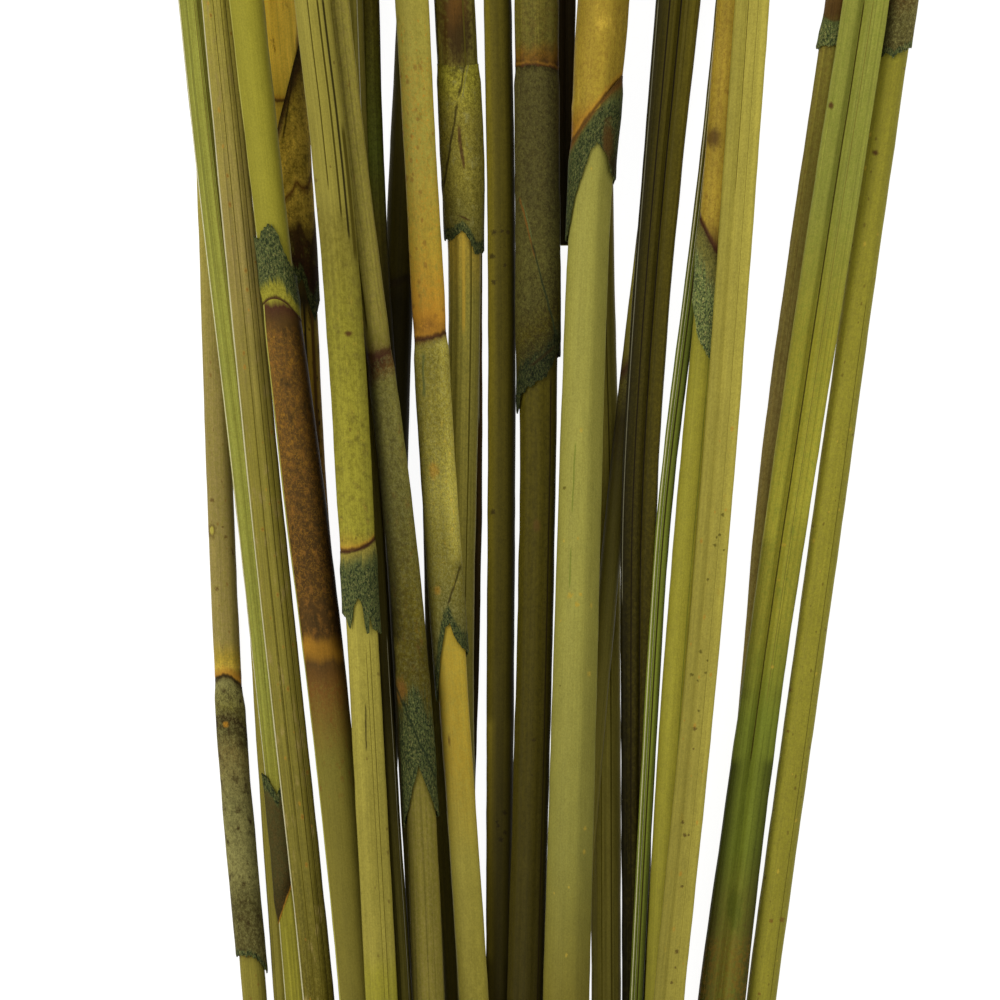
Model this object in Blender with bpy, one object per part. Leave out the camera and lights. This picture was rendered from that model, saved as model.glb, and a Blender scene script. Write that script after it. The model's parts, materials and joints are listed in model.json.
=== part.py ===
"""A bunch of cut reeds that lies on a flat surface.

Each reed is a plant of its own: a stem or a folded leaf, and on some stems a
leaf sheath that starts at a node and ends in a torn mouth. +Y runs along the
bunch, from its narrow foot to its wide top, +X across it, and the surface is
z = 0. Measures are in millimetres; the meshes are made in metres.
"""

import math

import bmesh
import bpy
import numpy as np
from mathutils import Matrix

MM = 0.001

# The bunch
LENGTH = 600.0
END_SPREAD = 9.0  # how unevenly the cut ends stand
END_SLANT = 1.2  # how far a cut leans from one side of a reed to the other
GAP = 0.3  # between pieces that touch
SHEATH_WALL = 0.4
NODE_STEP = 0.5  # length of the shoulder at a node
TEAR = 1.5  # depth of the notches in a torn mouth

# Distances along the bunch at which each reed's place across it was measured
ROWS = (135.0, 73.0, 5.5, -62.0, -129.5)
TOP_SPREAD = 400.0  # how fast the reeds turn parallel past the first row
FOOT_SPREAD = 75.0  # and past the last one

# Plain rings of points, and how far they stay from a node or a mouth
STATIONS = (215.0, 135.0, 90.0, 45.0, 0.0, -45.0, -90.0, -135.0, -170.0, -235.0)
STATION_ROOM = 7.0

# Height as a share of width, and how full the corners of the outline are
FLATNESS = {"round": 0.82, "ridged": 0.74, "leaf": 0.34, "strip": 0.4}
FULLNESS = {"round": 2.0, "ridged": 2.0, "leaf": 4.0, "strip": 2.0}
GROOVE = 0.87  # a groove's share of the radius on a ridged stem

# The reeds are laid on each other one by one, measured at this spacing
LAYING_STEP = 7.5
LAYING_POINTS = 25
EASING = 6  # steps over which a reed rises on to another
BEND = 1 / 2500  # how far a reed sags between those it lies on, as a curvature


class Sheath:
    """A thin sleeve round a stem.

    node is where it starts, on the left and on the right of the reed. mouth is
    where it ends, on the left, along the crown and on the right. wide is its
    outer width at the node and at the mouth.
    """

    def __init__(self, node, mouth, wide, colour):
        self.node = node
        self.mouth = mouth
        self.wide = wide
        self.colour = colour
        self.start = sum(node) / 2
        self.way = 1.0 if mouth[1] > self.start else -1.0
        self.nearest = min(mouth, key=lambda place: abs(place - self.start))
        self.farthest = max(mouth, key=lambda place: abs(place - self.start))

    def covers(self, along):
        past_start = self.way * (along - self.start) > NODE_STEP / 2
        return past_start and self.way * (self.farthest - along) >= 0

    def width(self, along):
        share = (along - self.start) / (self.farthest - self.start)
        return self.wide[0] + (self.wide[1] - self.wide[0]) * min(max(share, 0.0), 1.0)

    def room_inside(self, along):
        return self.width(along) - 2 * (SHEATH_WALL + GAP)

    def mouth_at(self, side, up):
        """Where the mouth is, from -1 on the left to 1 on the right, above or below."""
        left, crown, right = self.mouth
        if up > 0:
            edge = left if side < 0 else right
            return crown + (edge - crown) * abs(side)
        return (left + right) / 2 + (right - left) / 2 * side


class Reed:
    """One plant.

    across is its distance from the middle of the bunch at each row. wide lists
    pairs of a distance along the bunch and the bare width there.
    """

    def __init__(self, number, across, wide, colour, kind="round", **more):
        self.number = number
        self.across = across
        self.wide = sorted(wide)
        self.colour = colour
        self.kind = kind
        self.crease = more.get("crease", 0.0)
        self.sheath = more.get("sheath")
        self.sides = more.get("sides", 10)
        self.top = more.get("top", LENGTH / 2 - END_SPREAD * (number * 7 % 12) / 11)
        self.foot = more.get("foot", END_SPREAD * (number * 5 % 12) / 11 - LENGTH / 2)
        self.stations = self.find_stations()
        self.places = [self.measured_place(along) for along in self.stations]
        self.heights = [0.0] * len(self.stations)

    def find_stations(self):
        special = [self.foot, self.top]
        kept_clear = []
        if self.sheath:
            shoulder = self.sheath.start + self.sheath.way * NODE_STEP
            special += [self.sheath.start, shoulder, self.sheath.farthest]
            kept_clear = [*special, *self.sheath.node]
        plain = [
            along
            for along in STATIONS
            if self.foot + 15 < along < self.top - 15
            and all(abs(along - other) > STATION_ROOM for other in kept_clear)
        ]
        return sorted(special + plain)

    def measured_place(self, along):
        """Distance from the middle, on a smooth curve through the measured rows."""
        last = len(ROWS) - 1
        if along >= ROWS[0]:
            drift = TOP_SPREAD * (1 - math.exp((ROWS[0] - along) / TOP_SPREAD))
            return self.across[0] + self.slope(0) * drift
        if along <= ROWS[last]:
            drift = FOOT_SPREAD * (math.exp((along - ROWS[last]) / FOOT_SPREAD) - 1)
            return self.across[last] + self.slope(last) * drift
        i = next(k for k in range(len(ROWS) - 1) if ROWS[k + 1] <= along)
        span = ROWS[i + 1] - ROWS[i]
        t = (along - ROWS[i]) / span
        return (
            self.across[i] * (2 * t**3 - 3 * t**2 + 1)
            + self.slope(i) * span * (t**3 - 2 * t**2 + t)
            + self.across[i + 1] * (3 * t**2 - 2 * t**3)
            + self.slope(i + 1) * span * (t**3 - t**2)
        )

    def slope(self, row):
        before = max(row - 1, 0)
        after = min(row + 1, len(ROWS) - 1)
        return (self.across[after] - self.across[before]) / (ROWS[after] - ROWS[before])

    def place_at(self, along):
        return np.interp(along, self.stations, self.places)

    def height_at(self, along):
        return np.interp(along, self.stations, self.heights)

    def stem_width(self, along):
        distances, widths = zip(*self.wide)
        width = float(np.interp(along, distances, widths))
        if self.sheath and self.sheath.covers(along):
            room = self.sheath.room_inside(along)
            at_mouth = abs(along - self.sheath.farthest) < NODE_STEP
            return min(width, room) if at_mouth else room
        return width

    def outer_size(self, along):
        """Half the width and half the height of the reed with its sheath."""
        width = self.stem_width(along)
        size = [width / 2, width / 2 * FLATNESS[self.kind]]
        if self.sheath and self.sheath.covers(along):
            size = self.sheath_size(along)
        return size

    def sheath_size(self, along):
        room = self.sheath.room_inside(along) / 2
        skin = GAP + SHEATH_WALL
        return [room + skin, room * FLATNESS[self.kind] + skin]


def round_outline(sides):
    """Corners of an outline whose flats touch a circle of radius 1, one flat below."""
    reach = 1 / math.cos(math.pi / sides)
    turns = [(k + 0.5) * 2 * math.pi / sides - math.pi / 2 for k in range(sides)]
    return [(reach * math.cos(turn), reach * math.sin(turn)) for turn in turns]


def ridged_outline(sides):
    """The same, with every second corner of the upper side sunk to a groove."""
    corners = round_outline(sides)
    return [
        (x * GROOVE, z * GROOVE) if k % 2 and z > 0.1 else (x, z)
        for k, (x, z) in enumerate(corners)
    ]


def leaf_outline(crease):
    """A flat form with a crease along its upper side and a flat below."""
    left_lobe = (crease - 1) / 2
    right_lobe = (crease + 1) / 2
    over = [(1.0, 0.0), (0.84, 0.66), (right_lobe, 1.0), (crease + 0.08, 0.72)]
    over += [(crease, 0.15), (crease - 0.08, 0.72), (left_lobe, 1.0), (-0.84, 0.66)]
    under = [(-1.0, 0.0), (-0.78, -0.74), (-0.45, -1.0), (0.45, -1.0), (0.78, -0.74)]
    return over + under


def outline_of(reed):
    if reed.kind == "leaf":
        return leaf_outline(reed.crease)
    if reed.kind == "ridged":
        return ridged_outline(reed.sides)
    return round_outline(reed.sides)


def crown_height(share, fullness):
    """Height of an outline above its widest line, at a share of its half width."""
    return np.clip(1 - np.abs(share) ** fullness, 0, 1) ** (1 / fullness)


def needed_heights(reed, laid, distances):
    """How high the reed's axis has to be to clear the surface and the reeds below it."""
    swell = 1 / math.cos(math.pi / reed.sides)
    sizes = np.array([reed.outer_size(along) for along in distances])
    half_width, half_height = sizes[:, 0], sizes[:, 1]
    places = reed.place_at(distances)
    fullness = FULLNESS[reed.kind]
    needed = half_height.copy()
    for share in np.linspace(-1, 1, LAYING_POINTS):
        x = places + share * (half_width * swell + GAP)
        under = half_height * swell * crown_height(share, fullness)
        for other in laid:
            other_swell = 1 / math.cos(math.pi / other.sides)
            other_sizes = np.array([other.outer_size(along) for along in distances])
            other_share = (x - other.place_at(distances)) / (other_sizes[:, 0] * other_swell)
            rise = crown_height(other_share, FULLNESS[other.kind])
            top = other.height_at(distances) + other_sizes[:, 1] * other_swell * rise
            present = (distances > other.foot - 2) & (distances < other.top + 2)
            meets = present & (np.abs(other_share) < 1)
            needed = np.where(meets, np.maximum(needed, top + under + GAP), needed)
    return needed


def eased(heights):
    """The heights with their steps turned into gentle slopes, nowhere lower."""
    for settle in (np.max, np.mean):
        padded = np.pad(heights, EASING, mode="edge")
        windows = np.lib.stride_tricks.sliding_window_view(padded, 2 * EASING + 1)
        heights = settle(windows, axis=1)
    return heights


def resting_line(distances, heights):
    """The lowest line that is nowhere under the heights and sags no more than BEND."""
    sag = BEND * distances**2 / 2
    hull = []
    for point in zip(distances, heights - sag):
        while len(hull) > 1:
            (x1, z1), (x2, z2) = hull[-2:]
            if (z2 - z1) * (point[0] - x1) > (point[1] - z1) * (x2 - x1):
                break
            hull.pop()
        hull.append(point)
    return np.interp(distances, *zip(*hull)) + sag


def lay(reed, laid):
    """Settles the reed on the surface and on the reeds that lie already."""
    steps = int((reed.top - reed.foot) / LAYING_STEP) + 1
    distances = np.linspace(reed.foot, reed.top, steps)
    needed = needed_heights(reed, laid, distances)
    bare = [reed.outer_size(along)[1] for along in reed.stations]
    if np.all(needed < np.array([reed.outer_size(d)[1] for d in distances]) + 0.01):
        reed.heights = bare
        return
    resting = resting_line(distances, eased(needed))
    line = np.interp(reed.stations, distances, resting)
    heights = line.copy()
    for i in range(len(heights) - 1):
        low, high = reed.stations[i], reed.stations[i + 1]
        within = (distances >= low) & (distances <= high)
        straight = np.interp(distances[within], (low, high), line[i : i + 2])
        short = np.max(needed[within] - straight, initial=0.0)
        heights[i] = max(heights[i], line[i] + short)
        heights[i + 1] = max(heights[i + 1], line[i + 1] + short)
    reed.heights = [max(pair) for pair in zip(heights, bare)]


def material(name, colour):
    made = bpy.data.materials.new(name)
    made.use_nodes = True
    shader = made.node_tree.nodes["Principled BSDF"]
    shader.inputs["Base Color"].default_value = (*colour, 1.0)
    shader.inputs["Roughness"].default_value = 0.6
    shader.inputs["Metallic"].default_value = 0.0
    return made


def point_of(reed, along, side, up, half_width, half_height):
    x = reed.place_at(along) + half_width * side
    z = reed.height_at(along) + half_height * up
    return (x * MM, along * MM, max(z, 0.0) * MM)


def ring(mesh, reed, outline, along_of, size):
    """A closed loop of points round the reed."""
    return [
        mesh.verts.new(point_of(reed, along_of(side, up, k), side, up, *size))
        for k, (side, up) in enumerate(outline)
    ]


def bridge(mesh, first, second):
    """Faces between two loops with the same number of points."""
    count = len(first)
    for k in range(count):
        after = (k + 1) % count
        mesh.faces.new((first[k], first[after], second[after], second[k]))


def add_piece(mesh, name, colour):
    bmesh.ops.recalc_face_normals(mesh, faces=mesh.faces)
    data = bpy.data.meshes.new(name)
    mesh.to_mesh(data)
    mesh.free()
    data.shade_smooth()
    data.set_sharp_from_angle(angle=math.radians(40))
    data.materials.append(material(name, colour))
    piece = bpy.data.objects.new(name, data)
    bpy.context.scene.collection.objects.link(piece)


def add_stem(reed):
    """The stem or leaf: a loop of points at each station, with a face at each end."""
    mesh = bmesh.new()
    outline = outline_of(reed)
    loops = []
    for along in reed.stations:
        lean = 0.0
        if along in (reed.foot, reed.top):
            lean = END_SLANT * (reed.number % 3 - 1)
        elif reed.sheath and abs(along - reed.sheath.start) <= NODE_STEP:
            lean = (reed.sheath.node[1] - reed.sheath.node[0]) / 2
        width = reed.stem_width(along)
        size = (width / 2, width / 2 * FLATNESS[reed.kind])
        loops.append(ring(mesh, reed, outline, lambda s, u, k: along + lean * s, size))
    for first, second in zip(loops, loops[1:]):
        bridge(mesh, first, second)
    mesh.faces.new(loops[0])
    mesh.faces.new(loops[-1])
    piece = "leaf" if reed.kind in ("leaf", "strip") else "stem"
    add_piece(mesh, f"reed_{reed.number:02d}_{piece}", reed.colour)


def add_sheath(reed):
    """The sheath: an outer and an inner skin, joined at the node and at the mouth."""
    sheath = reed.sheath
    outline = round_outline(reed.sides)
    lean = (sheath.node[1] - sheath.node[0]) / 2
    first = sheath.start + sheath.way * (NODE_STEP + GAP)

    def node_edge(side, up, k):
        return first + lean * side

    def mouth_edge(side, up, k):
        return sheath.mouth_at(side, up) - sheath.way * TEAR * (k % 2)

    edges = [(first, node_edge)]
    low, high = sorted((first + sheath.way * abs(lean), sheath.nearest))
    between = [s for s in reed.stations if low + TEAR < s < high - TEAR]
    for along in between[:: int(sheath.way)]:
        edges.append((along, lambda s, u, k, along=along: along))
    edges.append((sheath.farthest, mouth_edge))

    mesh = bmesh.new()
    skins = []
    for thickness in (0.0, SHEATH_WALL):
        skin = []
        for along, edge in edges:
            half_width, half_height = reed.sheath_size(along)
            size = (half_width - thickness, half_height - thickness)
            skin.append(ring(mesh, reed, outline, edge, size))
        skins.append(skin)
    outer, inner = skins
    for skin in skins:
        for a, b in zip(skin, skin[1:]):
            bridge(mesh, a, b)
    bridge(mesh, outer[0], inner[0])
    bridge(mesh, outer[-1], inner[-1])
    add_piece(mesh, f"reed_{reed.number:02d}_sheath", sheath.colour)


# Colours of the fresh and the withered reeds
GREEN = (0.29, 0.30, 0.06)
PALE_GREEN = (0.33, 0.33, 0.09)
OLIVE = (0.22, 0.20, 0.05)
YELLOW = (0.38, 0.34, 0.07)
GOLD = (0.40, 0.28, 0.05)
BROWN = (0.12, 0.07, 0.02)
DARK = (0.035, 0.03, 0.01)
VELVET = (0.05, 0.08, 0.045)
MOTTLED = (0.13, 0.13, 0.05)


def reeds():
    """Every reed, from left to right along the middle of the bunch."""
    return [
        Reed(
            1, (-80.3, -78.2, -76.0, -73.0, -66.8), [(135, 6.6), (-48, 7.0), (-130, 6.3)],
            OLIVE,
            sheath=Sheath((-48.6, -50.2), (-121.5, -123.7, -127.4), (7.8, 8.2), MOTTLED),
        ),
        Reed(
            2, (-83.7, -77.0, -68.9, -62.2, -55.5), [(135, 6.4), (0, 6.4), (-70, 5.1), (-130, 6.2)],
            GREEN, "ridged",
            sheath=Sheath((-114.8, -102.6), (-74.2, -79.6, -74.2), (6.5, 6.5), VELVET),
        ),
        Reed(3, (-78.8, -73.4, -68.3, -64.7, -59.7), [(135, 3.0), (-130, 3.8)], OLIVE, sides=8),
        Reed(
            4, (-76.7, -70.3, -63.8, -56.6, -49.4), [(135, 8.1), (70, 9.2), (-130, 8.7)],
            OLIVE, "ridged", sides=12,
        ),
        Reed(
            5, (-68.4, -61.4, -53.3, -45.1, -38.9),
            [(135, 9.5), (75, 9.0), (50, 10.4), (5, 11.6), (-62, 11.0), (-130, 9.5)],
            PALE_GREEN, sides=12,
            sheath=Sheath((52.6, 48.6), (70.7, 73.4, 60.2), (10.6, 10.2), VELVET),
        ),
        Reed(
            6, (-59.9, -54.3, -51.4, -44.3, -37.8), [(135, 9.5), (50, 7.6), (-130, 7.0)],
            GOLD, "ridged",
            sheath=Sheath((97.2, 124.2), (61.3, 59.4, 48.9), (9.5, 9.2), BROWN),
        ),
        Reed(
            7, (-50.6, -43.3, -39.2, -35.6, -32.0),
            [(135, 10.0), (73, 10.5), (-12, 10.2), (-35, 8.7), (-130, 8.9)],
            YELLOW, "ridged", sides=12,
            sheath=Sheath((-13.8, -10.3), (-35.6, -29.2, -36.2), (10.2, 10.2), VELVET),
        ),
        Reed(8, (-40.2, -37.8, -34.6, -32.7, -29.2), [(135, 6.4), (-130, 4.9)], GREEN, sides=8),
        Reed(9, (-44.8, -40.0, -33.8, -30.2, -25.8), [(135, 3.2), (-130, 3.8)], OLIVE, sides=8),
        Reed(10, (-35.6, -33.8, -28.9, -25.0, -21.2), [(135, 6.0), (-130, 6.2)], DARK, sides=8),
        Reed(11, (-23.8, -27.0, -28.9, -31.1, -33.8), [(135, 8.1), (-130, 7.6)], DARK, sides=8),
        Reed(
            12, (-44.3, -37.3, -28.1, -22.3, -19.4), [(135, 7.0), (38, 7.0), (-130, 8.4)],
            OLIVE,
            sheath=Sheath((36.7, 40.5), (-87.8, -71.5, -85.0), (7.2, 9.2), OLIVE),
        ),
        Reed(13, (-23.2, -20.5, -18.6, -17.3, -13.2), [(135, 5.4), (-130, 4.4)], DARK, sides=8),
        Reed(
            14, (-23.8, -20.4, -16.6, -11.9, -7.3),
            [(135, 9.2), (73, 8.5), (45, 9.3), (-45, 8.0), (-130, 8.1)],
            GOLD, sides=12,
            sheath=Sheath((43.7, 45.4), (-54.0, -32.9, -41.0), (9.6, 9.8), MOTTLED),
        ),
        Reed(
            15, (-12.4, -9.5, -10.4, -11.1, -8.1), [(135, 11.3), (118, 11.6), (66, 9.0), (-130, 7.0)],
            BROWN, "ridged", sides=12,
            sheath=Sheath((118.3, 118.0), (70.7, 72.4, 66.7), (11.9, 12.0), MOTTLED),
        ),
        Reed(
            16, (-5.6, -5.9, -6.6, -7.6, -7.2), [(68, 2.0), (0, 3.4), (-60, 3.2), (-83, 1.2)],
            BROWN, "strip", sides=6, top=68.0, foot=-83.0,
        ),
        Reed(17, (-0.7, 0.5, 0.4, 0.0, -0.4), [(135, 7.3), (-62, 7.2), (-130, 6.5)], OLIVE),
        Reed(
            18, (9.9, 10.1, 10.3, 8.8, 6.9), [(135, 12.2), (115, 12.2), (5, 9.7), (-130, 10.0)],
            OLIVE, "ridged", sides=12,
            sheath=Sheath((116.9, 116.1), (23.8, 31.0, 39.0), (12.3, 12.2), MOTTLED),
        ),
        Reed(
            19, (17.6, 17.6, 17.6, 17.6, 17.6), [(300, 5.9), (135, 5.4), (69, 2.0)],
            DARK, "strip", sides=6, foot=69.0,
        ),
        Reed(
            20, (28.1, 24.0, 21.7, 19.8, 17.9),
            [(135, 14.2), (105, 13.6), (73, 11.2), (0, 11.7), (-130, 12.6)],
            PALE_GREEN, sides=12,
            sheath=Sheath((97.2, 114.8), (70.2, 93.5, 86.9), (13.2, 12.6), VELVET),
        ),
        Reed(21, (27.0, 26.5, 28.4, 28.6, 28.8), [(135, 7.0), (73, 8.1), (-130, 7.8)], OLIVE, "ridged"),
        Reed(22, (48.1, 40.0, 31.9, 25.9, 20.2), [(135, 5.9), (-130, 4.9)], OLIVE, sides=8),
        Reed(
            23, (48.2, 42.3, 37.5, 37.0, 36.7), [(135, 12.6), (73, 10.5), (5, 10.2), (-130, 7.6)],
            DARK, "leaf", crease=0.15,
        ),
        Reed(24, (60.5, 54.0, 44.8, 40.5, 37.0), [(135, 4.3), (-130, 3.8)], OLIVE, "strip", sides=8),
        Reed(
            25, (62.9, 57.8, 51.8, 46.4, 42.9), [(135, 8.1), (70, 8.0), (36, 7.2), (-130, 7.0)],
            GOLD,
            sheath=Sheath((74.2, 64.3), (50.0, 41.8, 37.3), (8.4, 8.2), VELVET),
        ),
        Reed(
            26, (68.0, 63.5, 58.6, 52.8, 45.8), [(135, 9.7), (5, 9.2), (-130, 8.6)],
            YELLOW, "leaf", crease=-0.2,
        ),
        Reed(
            27, (91.5, 82.4, 73.0, 67.5, 59.9), [(135, 6.4), (-130, 5.9)],
            OLIVE,
            sheath=Sheath((131.0, 131.0), (122.0, 122.6, 123.7), (7.4, 7.4), VELVET),
        ),
        Reed(
            28, (99.1, 89.4, 79.1, 69.3, 60.5), [(135, 13.0), (73, 13.4), (-62, 11.1), (-130, 13.4)],
            GREEN, "leaf", crease=-0.1,
        ),
        Reed(
            29, (108.8, 99.5, 90.2, 80.9, 71.4), [(135, 7.6), (5, 8.1), (-130, 7.8)],
            OLIVE,
            sheath=Sheath((153.9, 153.9), (119.3, 119.6, 122.9), (8.9, 8.9), BROWN),
        ),
    ]


# From the reed that lies at the very bottom to the one on top
LAYING_ORDER = (
    11, 10, 8, 9, 13, 16, 19, 1, 3, 2, 6, 15, 17, 21, 22,
    23, 24, 25, 27, 29, 12, 18, 20, 4, 5, 14, 7, 26, 28,
)


def centre_pieces():
    """Moves everything level, until the middle of the whole is over the origin."""
    meshes = [piece.data for piece in bpy.context.scene.collection.objects]
    points = np.array([point.co for mesh in meshes for point in mesh.vertices])
    middle = (points.min(axis=0) + points.max(axis=0)) / 2
    for mesh in meshes:
        mesh.transform(Matrix.Translation((-middle[0], -middle[1], 0.0)))


def main():
    for old in list(bpy.data.objects):
        bpy.data.objects.remove(old)
    bunch = {reed.number: reed for reed in reeds()}
    laid = []
    for number in LAYING_ORDER:
        lay(bunch[number], laid)
        laid.append(bunch[number])
    for reed in laid:
        add_stem(reed)
        if reed.sheath:
            add_sheath(reed)
    centre_pieces()


main()
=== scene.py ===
# %% [markdown]
# # A bunch of cut reeds, laid on a table
# A florist's bunch of reeds and folded leaves. Each one is a plant of its own, so each is
# modelled, bent to its place and painted by itself. The rough solids of the bunch come first:
# they say where every reed runs and how thick it is.

# %% Load the solids
import bpy
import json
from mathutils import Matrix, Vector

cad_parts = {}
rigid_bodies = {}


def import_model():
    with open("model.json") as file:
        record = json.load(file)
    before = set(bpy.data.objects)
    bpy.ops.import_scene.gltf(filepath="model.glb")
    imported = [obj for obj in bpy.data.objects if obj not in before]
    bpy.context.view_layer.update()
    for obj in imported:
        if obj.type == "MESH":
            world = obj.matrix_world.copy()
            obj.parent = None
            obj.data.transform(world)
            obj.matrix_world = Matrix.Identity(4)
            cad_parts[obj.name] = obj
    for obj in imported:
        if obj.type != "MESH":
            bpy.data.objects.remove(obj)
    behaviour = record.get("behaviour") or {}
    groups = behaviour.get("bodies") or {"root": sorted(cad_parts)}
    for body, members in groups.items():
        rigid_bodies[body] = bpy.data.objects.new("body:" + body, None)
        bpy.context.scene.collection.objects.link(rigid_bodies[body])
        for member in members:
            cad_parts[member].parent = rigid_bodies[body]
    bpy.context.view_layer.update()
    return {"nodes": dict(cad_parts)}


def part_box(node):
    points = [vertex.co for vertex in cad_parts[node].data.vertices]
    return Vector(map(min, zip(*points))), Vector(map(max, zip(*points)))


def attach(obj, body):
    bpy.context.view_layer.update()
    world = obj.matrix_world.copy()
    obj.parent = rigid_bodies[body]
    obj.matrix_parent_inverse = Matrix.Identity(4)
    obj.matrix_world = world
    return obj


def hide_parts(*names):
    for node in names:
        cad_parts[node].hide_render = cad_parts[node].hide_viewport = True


for left_over in list(bpy.data.objects):
    bpy.data.objects.remove(left_over)
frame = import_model()

# %% [markdown]
# ## Where things are in the photograph
# The photograph shows the middle of the bunch from straight above. It is handy to name a place
# by its row and column in that picture, so two short helpers turn them into metres.

# %% Places in the photograph
import json
import math
import random

import bmesh
import numpy as np

MM = 0.001
PIXEL = 0.27 * MM
PICTURE_MIDDLE = (-0.01536, 0.0)


def row(py):
    """How far along the bunch a row of the picture is."""
    return PICTURE_MIDDLE[1] + (500 - py) * PIXEL


def column(px):
    """How far across the bunch a column of the picture is."""
    return PICTURE_MIDDLE[0] + (px - 500) * PIXEL


print("the picture spans", round(row(1000), 3), "to", round(row(0), 3), "m along the bunch")

# %% [markdown]
# ## Camera, light and table
# The camera looks straight down from far away with a long lens, so the reeds hardly shrink
# towards the edges. The table is a pale sheet that glows a little, as a light table does: the
# gaps between reeds stay white. One large soft lamp stands at the upper left, because in the
# photograph the left flanks are bright and the right ones fall off into olive.

# %% Camera
CAMERA_HEIGHT = 2.4
bpy.ops.object.camera_add(location=(*PICTURE_MIDDLE, CAMERA_HEIGHT), rotation=(0, 0, 0))
camera = bpy.context.object
camera.name = "camera"
camera.data.sensor_width = 36
camera.data.lens = 36 * (CAMERA_HEIGHT - 0.012) / (1000 * PIXEL)
camera.data.clip_end = 20
bpy.context.scene.camera = camera
bpy.context.scene.view_settings.view_transform = "Standard"
print("lens", round(camera.data.lens), "mm")

# %% Table and lamps
bpy.ops.mesh.primitive_plane_add(size=8, location=(0, 0, 0))
table = bpy.context.object
table.name = "table"
table_top = bpy.data.materials.new("table_top")
table_top.use_nodes = True
table_shader = table_top.node_tree.nodes["Principled BSDF"]
table_shader.inputs["Base Color"].default_value = (0.25, 0.25, 0.25, 1)
table_shader.inputs["Roughness"].default_value = 0.9
table_shader.inputs["Emission Color"].default_value = (1, 1, 1, 1)
table_shader.inputs["Emission Strength"].default_value = 0.93
table.data.materials.append(table_top)

world = bpy.data.worlds.new("room")
world.use_nodes = True
world.node_tree.nodes["Background"].inputs["Color"].default_value = (1, 1, 1, 1)
world.node_tree.nodes["Background"].inputs["Strength"].default_value = 0.77
bpy.context.scene.world = world


def lamp(name, place, size, power):
    """A square soft lamp that faces the middle of the picture."""
    bpy.ops.object.light_add(type="AREA", location=place)
    made = bpy.context.object
    made.name = name
    made.data.size = size
    made.data.energy = power
    middle = np.array((*PICTURE_MIDDLE, 0.0))
    x, y, z = np.array(place) - middle
    made.rotation_euler = (math.atan2(math.hypot(x, y), z), 0, math.atan2(y, x) + math.pi / 2)
    return made


key_lamp = lamp("key_lamp", (-1.25, 0.55, 1.5), 0.9, 17)
print("lamps and table are in place")

# %% [markdown]
# ## The course of a reed
# Every solid is cut by planes across the bunch. Each cut gives the middle of the reed there and
# its half sizes. The solids bend in straight steps, and a real reed bends softly, so the middle
# line is averaged over a few centimetres.

# %% Courses
STEP = 2.5 * MM
SOFT_BEND = 22 * MM
SOFT_SIZE = 4 * MM


def cut(points, edges, along):
    """Lowest and highest x and z where the plane at this distance cuts a mesh."""
    first, second = points[edges[:, 0]], points[edges[:, 1]]
    crosses = (first[:, 1] < along) != (second[:, 1] < along)
    first, second = first[crosses], second[crosses]
    share = (along - first[:, 1]) / (second[:, 1] - first[:, 1])
    met = first + (second - first) * share[:, None]
    return met[:, 0].min(), met[:, 0].max(), met[:, 2].min(), met[:, 2].max()


def eased(values, reach):
    """A running average that keeps the slope at both ends."""
    n = round(reach / STEP)
    before = 2 * values[0] - values[n:0:-1]
    after = 2 * values[-1] - values[-2 : -n - 2 : -1]
    padded = np.concatenate((before, values, after))
    return np.convolve(padded, np.ones(2 * n + 1) / (2 * n + 1), "valid")


class Course:
    """The line that a reed follows, and its half width and half height along it."""

    def __init__(self, node):
        low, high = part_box(node)
        mesh = frame["nodes"][node].data
        points = np.array([v.co for v in mesh.vertices])
        edges = np.array([e.vertices for e in mesh.edges])
        self.foot, self.top = low.y, high.y
        self.along = np.arange(low.y + 3 * MM, high.y - 3 * MM, STEP)
        found = np.array([cut(points, edges, along) for along in self.along])
        self.x = eased((found[:, 0] + found[:, 1]) / 2, SOFT_BEND)
        self.z = eased((found[:, 2] + found[:, 3]) / 2, SOFT_BEND)
        self.half_x = eased((found[:, 1] - found[:, 0]) / 2, SOFT_SIZE)
        self.half_z = eased((found[:, 3] - found[:, 2]) / 2, SOFT_SIZE)

    def at(self, along):
        """x, z, half width and half height, at one distance or at many."""
        return [np.interp(along, self.along, v) for v in (self.x, self.z, self.half_x, self.half_z)]


courses = {name[:7]: Course(name) for name in sorted(frame["nodes"]) if "sheath" not in name}
print("courses:", len(courses), "thickest reed", round(max(c.half_x.max() for c in courses.values()) * 2000, 1), "mm")

# %% [markdown]
# ## Growing a stem
# A reed stem is a long tube of nearly even width. It could be a cylinder, but then it would be
# dead straight. Here it grows as in nature: a face at the foot is extruded a centimetre at a
# time, and each new end is moved to the course and brought to the reed's size. What the stem
# looks like in section is settled once, in the starting face, and so it runs from end to end.

# %% Sections
def smooth_section(angle):
    return math.cos(angle), math.sin(angle)


def ridged_section(ridges, depth, turn):
    """Furrows along the upper side, unevenly spaced as on a real stem."""

    def section(angle):
        wave = 0.5 + 0.5 * math.sin(ridges * angle + 1.4 * math.sin(2 * angle + turn) + turn)
        radius = 1 - depth * wave**2 * (0.4 + 0.6 * max(math.sin(angle), 0))
        return radius * math.cos(angle), radius * math.sin(angle)

    return section


def flanked_section(corner):
    """Round, with a flatter flank from the corner down to the right edge."""

    def section(angle):
        side, up = math.cos(angle), math.sin(angle)
        if side > corner and up > -0.2:
            share = (side - corner) / (1 - corner)
            up = min(up, math.sqrt(1 - corner**2) * (1 - share) ** 0.8)
        return side, up

    return section


def leaf_section(crease, depth=0.8, width=0.1):
    """A flat leaf with full edges, folded down along a crease."""

    def section(angle):
        side = 1 - 2 * abs(angle) / math.pi
        up = (1 - side**4) ** 0.25
        if angle < 0:
            return side, -up
        return side, up - depth * up * math.exp(-(((side - crease) / width) ** 2))

    return section


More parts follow.
